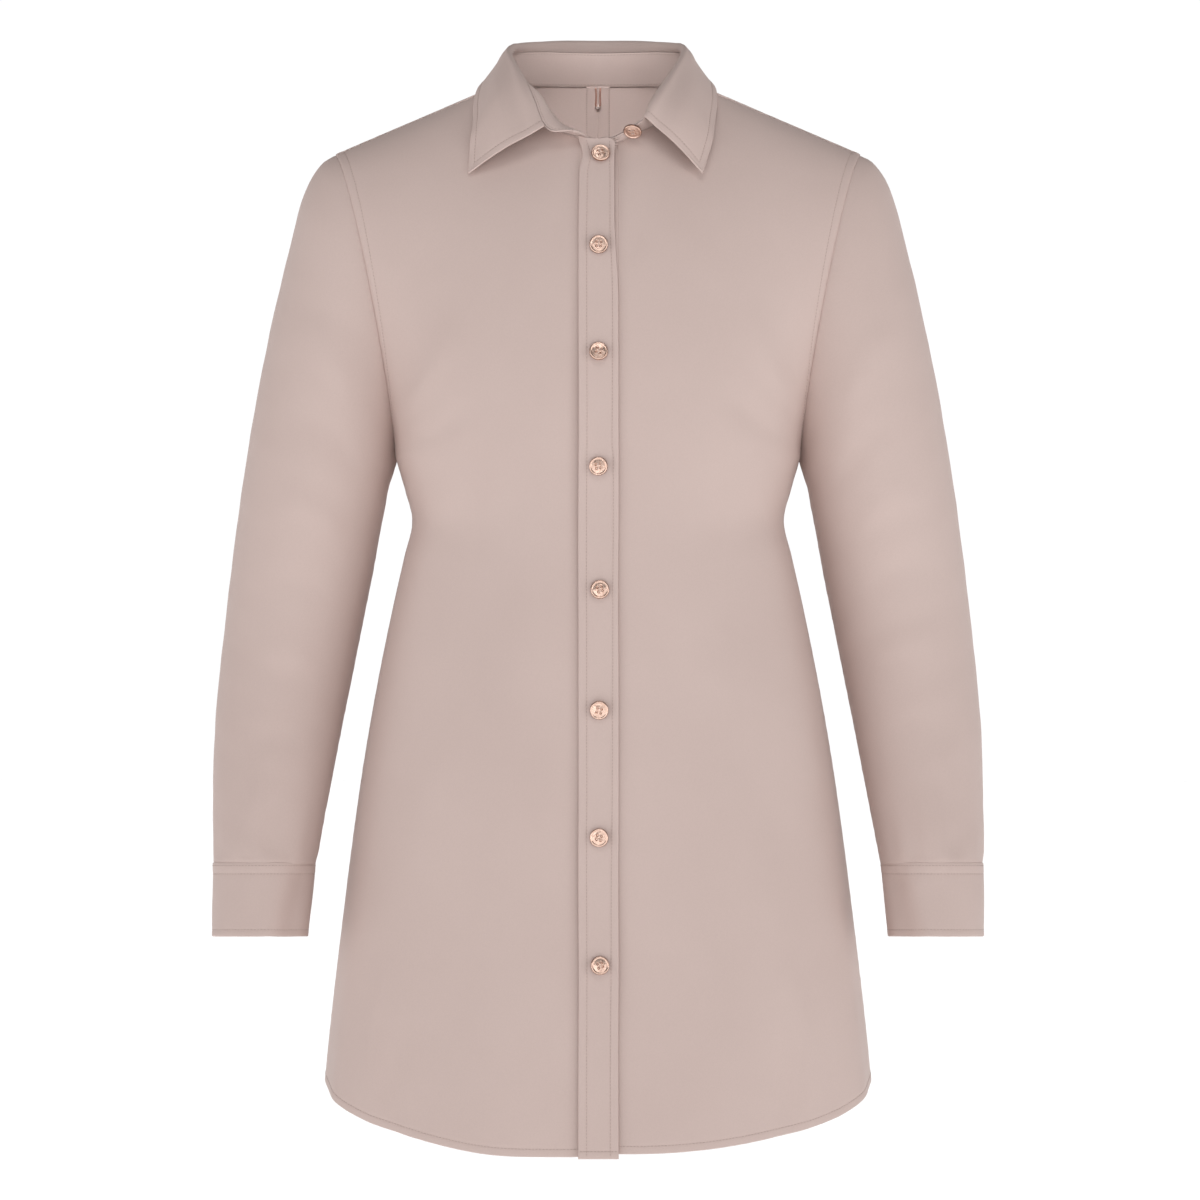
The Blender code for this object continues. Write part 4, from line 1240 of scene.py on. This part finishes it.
def sleeve_sheet(side):
    rings = np.concatenate((np.linspace(0, 3, 40), np.linspace(3.1, len(SLEEVE) - 1, 90)))
    sheet = Sheet(lambda place, ring: sleeve(full_turn(place), ring),
                  [(0.0, 1.0, PLAIN_EDGE, PLAIN_EDGE, SLEEVE_GRID[0])], rings,
                  (PLAIN_EDGE, SLEEVE_LOW), SLEEVE_GRID[1], 1)
    share = ramp((sheet.v - 8) / 4)
    tucked_in = 1.0 * bell(sheet.high, 1.2)
    points = tipped(sheet.points, TOP_TIP * share, TOP_SHIFT * share - tucked_in)
    sheet.take(points, 1, False)
    z = sheet.points[..., 2]
    seam = np.minimum(sheet.left, sheet.right)
    seed = 11.0 + side
    facing = np.where(sheet.u < 0.5, 1.0, 0.0)  # 1 on the back half
    front = creased(sheet.points, SLEEVE_CREASES, side)
    back = creased(sheet.points + (0, 0, 14), SLEEVE_CREASES, -side)
    near_side = np.abs(sheet.base_normals[..., 1])
    move = np.where(facing > 0.5, back, front) * ramp(near_side / 0.5)
    move += 0.5 * uneven(z / 150 + sheet.u * 2, seed) * uneven(z / 240, seed + 2)
    move += 0.22 * uneven(z / 44 + sheet.u * 3, seed + 3)
    move *= held(seam, 14) * held(sheet.low, 20)
    move *= held(sheet.high, 10)
    # the folds let in above the cuff
    gather = 0.9 * bell(sheet.high, 34) * uneven(sheet.u * 9, seed + 5)
    move += gather * ramp(sheet.high / 9)
    move += valley(seam, 0.35)
    move += valley(sheet.low, 0.4, 1.2)
    move += pucker(sheet.low, sheet.left, 0.35, seed + 6, 9.0, 9.0)
    move += pucker(seam, z, 0.25, seed + 7)
    move -= 0.3 * bell(sheet.high, 1.5)
    return sheet.shape(move)


def cuff_sheet(side):
    downs = np.linspace(0, 1, 60)
    sheet = Sheet(lambda place, down: cuff(full_turn(place), down),
                  [(0.0, 1.0, (0,), (0,), CUFF_GRID[0])], downs,
                  (CUFF_TOP_ROWS, CUFF_LOW_ROWS), CUFF_GRID[1], 1)
    sheet.u, sheet.v = sheet.u[:, :-1], sheet.v[:, :-1]
    tip = TOP_TIP + (LOW_TIP - TOP_TIP) * sheet.v
    shift = TOP_SHIFT + (LOW_SHIFT - TOP_SHIFT) * sheet.v
    sheet.take(tipped(sheet.points[:, :-1], tip, shift), 1, True)
    seed = 21.0 + side
    around = sheet.u
    # pressed nearly flat in front, it turns sharply towards the body
    turns_at = 0.815 - 0.03 * sheet.v
    flat = 0.35 + 0.65 * ramp(sheet.v / 0.3)
    move = 1.5 * flat * bell(around - turns_at, 0.035)
    move -= 3.4 * flat * bell(around - turns_at - 0.095, 0.052)
    move += 0.35 * np.sin(2 * math.pi * around * 3 + seed) * np.sin(math.pi * sheet.v)
    move += 0.18 * np.sin(2 * math.pi * around * 7 + seed) * np.sin(2 * math.pi * sheet.v)
    move += stitch_dent(sheet.low, CUFF_TOP_STITCH, 0.2, 0.2)
    move += stitch_dent(sheet.high, CUFF_LOW_STITCH, 0.18, 0.15)
    wave = np.sin(2 * math.pi * around * 38 + seed) + np.sin(2 * math.pi * around * 23)
    move += 0.10 * wave * bell(sheet.low - CUFF_TOP_STITCH, 3.0)
    move += 0.08 * wave * bell(sheet.high - CUFF_LOW_STITCH, 3.0)
    return sheet.shape(move)


def closed_line(points, away):
    """A line round the cuff, brought back to its start."""
    return np.concatenate((points, points[:1])), np.concatenate((away, away[:1]))


CUFF_WALL = 1.7


def add_arm(side):
    end = end_of(side)
    arm, wrist = sleeve_sheet(side), cuff_sheet(side)
    add_cloth(f"sleeve_{end}", arm, SHOWN, side, cloth)
    add_extras(f"sleeve_{end}", allowance(f"sleeve_{end}_seam_allowance", arm, side, "left"))
    add_cloth(f"cuff_{end}", wrist, CUFF_WALL, side, folded_cloth, ("low", "high"))
    upper = CUFF_TOP_ROWS.index(CUFF_TOP_STITCH)
    lower = -1 - CUFF_LOW_ROWS.index(CUFF_LOW_STITCH)
    lines = []
    for k, depth, way in (
        (CUFF_TOP_ROWS.index(CUFF_SEAM_STITCH), 0, 1), (upper, 0, 1), (lower, 0, 1),
        (upper, CUFF_WALL, -1), (lower, CUFF_WALL, -1),
    ):
        points, away = wrist.points[k], wrist.normals[k]
        lines.append(closed_line(points - away * depth, way * away))
    sew(f"cuff_{end}", lines, side)


# Plackets

PLACKET_EDGE = beside_stitch(PLACKET_STITCH)
PULLED_IN = 2.9  # how far the collar's pull draws the sewn edge in, below the neck
TOP_STEP = 207.0  # length along the front per unit of v at its top
PLACKET_WALL = 1.7
UNDER_WALL = 1.6
UNDER_STITCH_AT = 6  # column of the grid


def add_top_placket():
    """The buttonhole strip, which lies over both fronts' edges."""
    low = -1 - PLACKET_DROP / (UNDERARM - HEM)
    rows = np.concatenate(([low], ROWS))
    height = body(np.zeros_like(ROWS), ROWS, -1)[:, 2]
    height = np.concatenate(([height[0]], height))
    pull = PULLED_IN * bell(height + 66, 8.5)
    pull += 0.6 * bell(height + 85, 30) - 0.9 * ramp((height + 60) / 8)
    start = -PLACKET_OUTER + pull + 0.3 * uneven(height / 240, 2.0)
    finish = np.full_like(rows, PLACKET_INNER) + 0.25 * uneven(height / 200, 5.0)
    finish = finish + 0.5 - 2.9 * ramp((height + 175) / 60)

    def top_surface(x, v):
        x, v = np.broadcast_arrays(x, v)
        over = np.clip(x - (finish[-1] - PLACKET_CORNER), 0, PLACKET_CORNER * 0.98)
        fall = PLACKET_CORNER - np.sqrt(PLACKET_CORNER**2 - over**2)
        top = 1 - fall / TOP_STEP
        return near_centre(x, low + (v - low) * (top - low) / (1 - low), -1)

    spans = [(start, finish, PLACKET_EDGE, PLACKET_EDGE, PLACKET_GRID[0])]
    sheet = Sheet(top_surface, spans, rows, (HEM_ROWS, HEM_ROWS), PLACKET_GRID[1], 1)
    z = sheet.points[..., 2]
    move = np.full(z.shape, SEAM + DOUBLE - 0.1)
    move += stitch_dent(sheet.left, PLACKET_STITCH, 0.28)
    move += stitch_dent(sheet.right, PLACKET_STITCH, 0.28)
    move += pucker(np.abs(sheet.left - PLACKET_STITCH), z, 0.14, 31.0, 3.0, 12.0)
    move += pucker(np.abs(sheet.right - PLACKET_STITCH), z, 0.14, 33.0, 3.0, 13.0)
    move += 0.35 * uneven(z / 95, 35.0) * np.minimum(sheet.left, sheet.right) / 16
    lifted = 0.7 + 0.4 * uneven(z / 170, 39.0)
    move += lifted * (bell(sheet.right, 5) + 0.5 * bell(sheet.left, 4))
    move += stitch_dent(sheet.low, HEM_STITCH, 0.2)
    move += 0.9 * bell(sheet.high, 2.4)
    move += 2.2 * np.exp(-((sheet.high / 12) ** 2 + (sheet.right / 11) ** 2))
    sheet.shape(move)
    add_cloth("placket_right", sheet, PLACKET_WALL, 1, folded_cloth,
              ("left", "right", "low", "high"))
    at = PLACKET_EDGE.index(PLACKET_STITCH)
    lines = [(sheet.points[2:-2, k], sheet.normals[2:-2, k]) for k in (at, -1 - at)]
    lines.append((sheet.points[HEM_AT, 1:-1], sheet.normals[HEM_AT, 1:-1]))
    sew("placket_right", lines)


def add_under_placket():
    """The button strip, on the left front's edge."""
    free_edge = PLACKET_INNER + SEAM / 2
    spans = [(UNDER_PLACKET_EDGE, free_edge, PLAIN_EDGE, PLAIN_EDGE, UNDER_GRID[0])]
    under = Sheet(lambda x, v: near_centre(x, v, 1), spans, ROWS, (HEM_ROWS, PLAIN_EDGE),
                  UNDER_GRID[1], 1)
    under.take(dropped(under.points), 1, False)
    z = under.points[..., 2]
    move = -0.1 + 0.12 * uneven(z / 60, 37.0) * held(under.left, 6)
    under.shape(move * held(under.right, 3) - 1.2 * bell(under.high, 9))
    add_cloth("placket_left", under, UNDER_WALL, 1, folded_cloth, ("left", "low", "high"))
    points, away = under.points - under.normals * UNDER_WALL, -under.normals
    sew("placket_left", [
        (points[2:-2, k], away[2:-2, k]) for k in (UNDER_STITCH_AT, -1 - UNDER_STITCH_AT)
    ])


# Collar

LEAF_WALL = 1.6
BAND_WALL = 1.9
BAND_SINKS = 1.7  # how far the band's two layers reach down over the neck edge
LEAF_EDGE = beside_stitch(LEAF_STITCH)
BAND_EDGE = (0, 0.5, 1.2, 1.8, BAND_STITCH, 3.0, 4.2)


def band_shown(station, up):
    """The band, and below 0 its layers' lower edge, which encloses the neck edge."""
    station, up = spread(station, up)
    above = band(station, np.maximum(up, 0.0))
    middle = read(BAND, "middle", station)
    sunk = band_foot(station, middle, 1.0) - band_foot(station, middle)
    return above + sunk * np.minimum(up, 0.0)[..., None] * -100


def add_collar():
    ups = np.concatenate((np.linspace(-BAND_SINKS / 100, 0, 8)[:-1], np.linspace(0, 1, 50)))
    spans = [(-1.0, 1.0, BAND_EDGE, BAND_EDGE, BAND_GRID[0])]
    stand = Sheet(band_shown, spans, ups, (BAND_EDGE, BAND_EDGE), BAND_GRID[1], 1)
    on_left = np.where((stand.u > 0)[..., None], dropped(stand.points), stand.points)
    stand.take(on_left, 1, False)
    spans = [(LEAF[0].station, LEAF[-1].station, LEAF_EDGE, LEAF_EDGE, LEAF_GRID[0])]
    fall = Sheet(leaf, spans, np.linspace(0, 1, 130), (PLAIN_EDGE, LEAF_EDGE), LEAF_GRID[1], 1)

    along = stand.u * 230
    under_leaf = ramp((LEAF[-1].station - np.abs(stand.u)) / 0.03)
    move = 0.3 * uneven(along / 46, 41.0) * held(stand.high, 8)
    move *= held(stand.low, 8) * held(stand.left, 10)
    move *= held(stand.right, 10)
    move += pucker(np.abs(stand.high - BAND_STITCH), along, 0.10, 43.0, 3.0, 9.0)
    move -= 0.12 * bell(stand.high - BAND_STITCH, 0.8)
    stand.shape(move - 0.25 * under_leaf * bell(stand.high, 1.0))

    along = fall.left
    near = np.minimum(np.minimum(fall.left, fall.right), fall.high)
    move = 0.45 * uneven(along / 130, 47.0) * held(near, 14)
    move *= held(fall.low, 20)
    move += stitch_dent(near, LEAF_STITCH, 0.26)
    at_front = ramp((np.abs(fall.u) - 0.5) / 0.1)
    move -= 2.0 * at_front * bell(fall.high, 22) * np.minimum(near / 3 + 0.4, 1)
    move += pucker(np.abs(near - LEAF_STITCH), along + fall.high, 0.12, 49.0, 3.5, 11.0)
    fall.shape(move - 0.25 * bell(fall.low, 1.0))

    add_cloth("collar_band", stand, BAND_WALL, 1, folded_cloth,
              ("left", "right", "high", "low"), centred=True)
    add_cloth("collar_leaf", fall, LEAF_WALL, 1, folded_cloth, ("left", "right", "high"),
              centred=True)

    at = LEAF_EDGE.index(LEAF_STITCH)
    line = []
    for grid in (fall.points + fall.normals * LEAF_WALL / 2, fall.normals):
        line.append(np.concatenate((
            grid[2 : -at - 1, at], grid[-at - 1, at : -at - 1], grid[-at - 1 : 2 : -1, -at - 1]
        )))
    points, away = line
    sew("collar_leaf", [line, (points - away * LEAF_WALL, -away)])
    at = BAND_EDGE.index(BAND_STITCH)
    inner = slice(at, -at)
    lines = []
    for sign in (1, -1):
        points = stand.points + sign * stand.normals * BAND_WALL / 2
        away = sign * stand.normals
        for row in ((at, inner), (-1 - at, inner), (inner, at), (inner, -1 - at)):
            lines.append((points[row], away[row]))
    sew("collar_band", lines)


# Buttons

HOLE_PLACE = 1.6  # from the middle, across and up
HOLE_RADIUS = 0.92
HOLE_DEPTH = 1.5
EDGE_SHARE = 0.95  # of the radius, beyond which the metal is darker: a painted reflection of the cloth round the button
RIM_SHARE = 0.885  # of the radius, at the rim's crest
RIM_FOOT, RIM_RISE = 1.35, 1.25  # height of the rim's outer foot, and of its crest above it
DISH_SHARE = 0.84  # of the radius, where the dish inside the rim starts
DISH_DEPTH, DISH_DOME = 0.75, 0.7
BUTTON_SIDES = 72
# Rings of the button's face, by their share of the radius, then of its rounded underside, each
# with its height.
FACE_SHARES = np.concatenate((
    np.linspace(0.02, 0.52, 24), np.linspace(0.55, 0.86, 10), np.linspace(0.88, 0.999, 10)
))
UNDERSIDE = ((1.0, 1.2), (0.985, 0.8), (0.93, 0.45), (0.8, 0.15), (0.5, 0.0))


def button_face(radius, x, y, seed):
    """Height of the button's face: a rounded rim, a dish, four holes and a hammered skin."""
    share = radius / BUTTON_RADIUS
    rim = np.sqrt(np.clip(1 - ((share - RIM_SHARE) / 0.115) ** 2, 0, 1))
    height = np.where(share > RIM_SHARE, RIM_FOOT + RIM_RISE * rim, BUTTON_HEIGHT)
    dish = ramp((DISH_SHARE - share) / 0.10)
    height = height - dish * DISH_DEPTH + DISH_DOME * dish * (1 - (share / DISH_SHARE) ** 2)
    skin = uneven(x / 3.1 + y / 7.3, seed) * uneven(y / 2.7 - x / 6.1, seed + 1)
    broad = uneven(x / 9.0 + 0.1 * seed, seed + 2) + uneven(y / 10.0, seed + 3)
    height = height + dish * (0.07 * skin + 0.16 * broad)
    for across in (-1, 1):
        for up in (-1, 1):
            hole = np.hypot(x - across * HOLE_PLACE, y - up * HOLE_PLACE)
            height = height - HOLE_DEPTH * ramp((HOLE_RADIUS + 0.18 - hole) / 0.36)
            height = height + 0.12 * bell(hole - HOLE_RADIUS - 0.35, 0.22)
    return height


def button_points(seed):
    """Points and faces of a button, its base at z = 0."""
    turn = 2 * math.pi * np.arange(BUTTON_SIDES) / BUTTON_SIDES
    rings = []
    for share in FACE_SHARES:
        x, y = BUTTON_RADIUS * share * np.cos(turn), BUTTON_RADIUS * share * np.sin(turn)
        rings.append(vectors_of(x, y, button_face(np.hypot(x, y), x, y, seed)))
    for share, z in UNDERSIDE:
        radius = BUTTON_RADIUS * share
        rings.append(vectors_of(radius * np.cos(turn), radius * np.sin(turn), z))
    return np.concatenate(rings), tube_faces(len(rings), BUTTON_SIDES)


def bead_tube(path, radius, sides=8):
    """Points and faces of a tube with tapered ends along a short path."""
    path = np.asarray(path, float)
    ahead = unit(np.gradient(path, axis=0))
    aside = unit(np.cross(ahead, UP))
    up = np.cross(aside, ahead)
    widths = np.full(len(path), radius)
    widths[[0, -1]] *= 0.3
    cosines, sines = corners_of(sides)
    ring = aside[:, None] * cosines + up[:, None] * sines
    points = (path[:, None] + ring * widths[:, None, None]).reshape(-1, 3)
    return points, tube_faces(len(path), sides, turned=True)


def button_thread():
    """Two pairs of threads that cross the button's middle from hole to hole."""
    tubes = []
    for y in (-HOLE_PLACE, HOLE_PLACE):
        for shift in (-0.22, 0.22):
            x = np.linspace(-HOLE_PLACE, HOLE_PLACE, 9)
            arch = 2.0 + 0.62 * (1 - (x / HOLE_PLACE) ** 4)
            tubes.append(bead_tube(vectors_of(x, y + shift, arch - 0.2), 0.2))
    return joined(tubes)


# How each button hangs askew on its threads: how far it looks aside and up, in degrees.
TILTS = [(4, 2), (-3, -8), (2, 9), (-7, 3), (1, 4), (-1, -9), (-6, -2), (5, 6)]


def add_button(name, place, facing, seed, aside, upwards):
    """A button with its base at a place, looking nearly along facing."""
    facing = unit(np.asarray(facing, float))
    tilt = np.array((math.tan(math.radians(aside)), 0.0, math.tan(math.radians(upwards))))
    place = place + facing * BUTTON_RADIUS * 0.8 * np.linalg.norm(tilt)
    facing = unit(facing + tilt)
    right = unit(np.cross(UP, facing))
    spin = 0.35 * math.sin(seed * 1.7)
    up = np.cross(facing, right)
    right, up = (
        math.cos(spin) * right + math.sin(spin) * up,
        math.cos(spin) * up - math.sin(spin) * right,
    )
    for word, (points, faces), material in (
        ("metal", button_points(seed), rose_metal),
        ("thread", button_thread(), button_cotton),
    ):
        turned = points[:, :1] * right + points[:, 1:2] * up + points[:, 2:] * facing
        piece = make_object(f"{name}_{word}", turned + place, faces, material)
        if word == "metal":
            # the faces beyond EDGE_SHARE take the darker metal, a painted reflection of the
            # cloth beside the button
            piece.data.materials.append(cloth_reflection_metal)
            for face in piece.data.polygons:
                corner = points[face.vertices[0]]
                face.material_index = int(math.hypot(*corner[:2]) > EDGE_SHARE * BUTTON_RADIUS)
            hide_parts(name)


def add_buttons():
    rows = np.linspace(-0.9, 1.0, 400)
    for number, (across, height) in enumerate(BUTTONS, start=1):
        line = near_centre(np.full_like(rows, across), rows, -1)
        i = int(np.searchsorted(line[:, 2], height))
        share = (height - line[i - 1, 2]) / (line[i, 2] - line[i - 1, 2])
        along = unit(line[i] - line[i - 1])
        facing = np.cross(ACROSS, along)
        seat = line[i - 1] * (1 - share) + line[i] * share
        add_button(f"button_{number}", seat + facing * (SEAM + DOUBLE + SEAM), facing,
                   float(number), *TILTS[number - 1])

    (station, up), step = BAND_BUTTON, 0.01
    middle = band(station, up)
    across = band(station + step, up) - band(station - step, up)
    along = band(station, up + step) - band(station, up - step)
    facing = unit(np.cross(along, across))
    add_button("band_button", middle + facing * (DOUBLE / 2 + SEAM), facing, 9.0, -14, 10)


# Hanger loop

LOOP_SIDES = 12
LOOP_HALF = 0.42  # half the ribbon's thickness


def add_hanger_loop():
    """A narrow twisted ribbon folded to a loop, inside the centre back neck."""
    drop = np.linspace(0, 1, 12)
    arc = np.linspace(0, math.pi, 13)
    leg = (LOOP_WIDTH - LOOP_RIBBON) / 2
    down = [(-leg * (1 - 0.25 * math.sin(d * 3)), -LOOP_DROP * d) for d in drop[:-1]]
    turn = [(-leg * math.cos(a), -LOOP_DROP - leg * math.sin(a)) for a in arc]
    up = [(leg * (1 - 0.15 * math.sin(d * 3)), -LOOP_DROP * d) for d in drop[-2::-1]]
    path = np.array(down + turn + up)
    top, below = body(0.0, 1.0, 1), body(0.0, 0.9, 1)
    slope = unit(below - top)
    inward = unit(np.cross(slope, ACROSS))
    inward = inward if inward[1] < 0 else -inward
    start = top + inward * (CLOTH + 1.2) + slope * 0.5
    bulge = 0.5 * np.sin(np.linspace(0, math.pi, len(path)))
    centre = start + path[:, :1] * ACROSS - path[:, 1:] * slope
    centre = centre + inward * bulge[:, None]
    tangent = unit(np.gradient(path, axis=0))
    aside = np.stack((-tangent[:, 1], tangent[:, 0]), axis=1)
    aside = aside[:, :1] * ACROSS - aside[:, 1:] * slope
    twist = 0.5 * np.sin(np.linspace(0, 2.5 * math.pi, len(path)))[:, None]
    across = unit(aside * np.cos(twist) + inward * np.sin(twist))
    over = unit(inward * np.cos(twist) - aside * np.sin(twist))
    cosines, sines = corners_of(LOOP_SIDES)
    ring = across[:, None] * (LOOP_RIBBON / 2 * cosines) + over[:, None] * (LOOP_HALF * sines)
    points = (centre[:, None] + ring).reshape(-1, 3)
    made = make_object("hanger_loop_ribbon", points, tube_faces(len(path), LOOP_SIDES), ribbon)
    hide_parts("hanger_loop")

    # a knot of pale thread where the ribbon is caught at its lower end
    low = centre[len(centre) // 2] + inward * 0.5
    knots = []
    for number in range(7):
        angle = 2.4 * number
        middle = low + 0.55 * (math.cos(angle) * ACROSS + math.sin(angle) * slope)
        reach = unit(np.array((math.cos(angle * 1.7), 0.0, math.sin(angle * 1.7)))) * 1.5
        bow = np.sin(np.linspace(0, math.pi, 7))[:, None] * inward * 0.9
        path = middle + np.linspace(-1, 1, 7)[:, None] * reach + bow
        knots.append(bead_tube(path, 0.34))
    add_stitches("hanger_loop_knot", knots, knot_cotton)


# Putting it together

for wearer_side in (1, -1):
    add_torso(wearer_side)
    add_arm(wearer_side)
add_top_placket()
add_under_placket()
add_collar()
add_buttons()
add_hanger_loop()

# Fields of a flat cut of a sheet, in metres: its width, its length and its area, and the piece
# it hangs from. No cut is computed here.
Cut = namedtuple("Cut", "node width length area hangs_from")


# Floor, light and camera

FLOOR_Z = -1.45
FLOOR_RADIUS = 26.0
FLOOR_SIDES = 96


def add_sun(name, angle, strength):
    """A broad light from straight above."""
    sun = bpy.data.lights.new(name, "SUN")
    sun.angle = math.radians(angle)
    sun.energy = strength
    return placed_object(name, sun)


def lit_only(lamp, name, pieces):
    """Lets a lamp reach only the pieces given."""
    lit = bpy.data.collections.new(f"lit_{name}")
    for piece in pieces:
        lit.objects.link(piece)
    lamp.light_linking.receiver_collection = lit


def add_floor():
    turns = [2 * math.pi * k / FLOOR_SIDES for k in range(FLOOR_SIDES)]
    points = [(FLOOR_RADIUS * math.cos(a), FLOOR_RADIUS * math.sin(a), FLOOR_Z) for a in turns]
    mesh = bpy.data.meshes.new("floor")
    mesh.from_pydata(points, [], [list(range(FLOOR_SIDES))])
    pale = (0.90, 0.90, 0.90)
    made, _, shader = material_of("pale_floor", pale)
    shader.inputs["Base Color"].default_value = (*pale, 1.0)
    shader.inputs["Roughness"].default_value = 0.9
    mesh.materials.append(made)
    floor = placed_object("floor", mesh)
    floor.visible_diffuse = False  # the world's lower half stands for its reflected light
    lit_only(add_sun("floor_light", 60, 2.9), "floor", [floor])


def put_lamp(lamp, place, aim):
    placed = placed_object(lamp.name, lamp)
    placed.location = place
    direction = Vector(aim) - Vector(place)
    placed.rotation_euler = direction.to_track_quat("-Z", "Y").to_euler()
    return placed


def add_panel(name, place, size, power):
    """A soft square light that looks at the garment's middle."""
    lamp = bpy.data.lights.new(name, "AREA")
    lamp.shape = "RECTANGLE"
    lamp.size, lamp.size_y = size
    lamp.energy = power
    put_lamp(lamp, place, (0, 0, -0.5))


def add_spot(name, aim, cone, power, receivers):
    """A soft narrow light from before and above the neck, only for the pieces named."""
    lamp = bpy.data.lights.new(name, "SPOT")
    lamp.spot_size = math.radians(cone)
    lamp.spot_blend = 0.6
    lamp.shadow_soft_size = 0.05
    lamp.energy = power
    placed = put_lamp(lamp, (0.0, -1.1, 0.55), aim)
    lit_only(placed, name, [bpy.data.objects[piece] for piece in receivers])


def add_world(*changes):
    """White walls all round, whose strength passes from one value to another over heights."""
    world = bpy.data.worlds.new("studio")
    world.use_nodes = True
    tree = world.node_tree
    place = tree.nodes.new("ShaderNodeTexCoord")
    axes = add_node(tree, "ShaderNodeSeparateXYZ", [(place.outputs["Generated"], "Vector")])
    shares = []
    for change in changes:
        share = add_node(tree, "ShaderNodeMapRange", [(axes.outputs["Z"], "Value")],
                         interpolation_type="SMOOTHSTEP")
        for socket, value in zip(("From Min", "From Max", "To Min", "To Max"), change):
            share.inputs[socket].default_value = value
        shares.append((share.outputs[0], len(shares)))
    strength = add_node(tree, "ShaderNodeMath", shares, operation="MULTIPLY")
    background = tree.nodes["Background"]
    background.inputs["Color"].default_value = (1.0, 1.0, 1.0, 1.0)
    tree.links.new(strength.outputs[0], background.inputs["Strength"])
    bpy.context.scene.world = world


def add_camera():
    lens = bpy.data.cameras.new("camera")
    lens.lens = 157.5
    lens.sensor_width = 36.0
    camera = placed_object("camera", lens)
    camera.location = (0.0016, -4.2, -0.4128)
    camera.rotation_euler = (math.pi / 2, 0.0, 0.0)
    bpy.context.scene.camera = camera


add_floor()
add_world((0.13, 0.45, 1.02, 0.12), (-0.06, -0.25, 1.0, 1.2))  # upwards, and downwards
add_sun("ceiling", 50, 0.25)
Panel = namedtuple("Panel", "name place size power")
for panel in (
    Panel("key", (-1.2, -4.5, -0.9), (2.2, 1.6), 14.0),
    Panel("fill", (2.6, -3.4, -0.7), (1.6, 2.0), 10.0),
    Panel("top", (0.0, -2.6, 2.6), (2.0, 1.2), 24.0),
    Panel("left", (-4.2, -1.6, -0.3), (1.6, 2.0), 17.0),
    Panel("right", (4.2, -1.6, -0.3), (1.6, 2.0), 21.0),
):
    add_panel(*panel)
INSIDE_NECK = ["hanger_loop_ribbon", "hanger_loop_knot"]
for end in ("left", "right"):
    strip = f"back_{end}_centre_allowance"
    INSIDE_NECK += [f"back_{end}_cloth", strip, f"{strip}_oversewing"]
add_spot("neck", (0, 0.04, -0.01), 9.5, 55.0, INSIDE_NECK)
add_spot("band", (0, 0.057, 0.018), 7.5, 24.0, ["collar_band_cloth", "collar_band_stitching"])
add_camera()
bpy.context.scene.view_settings.view_transform = "Standard"
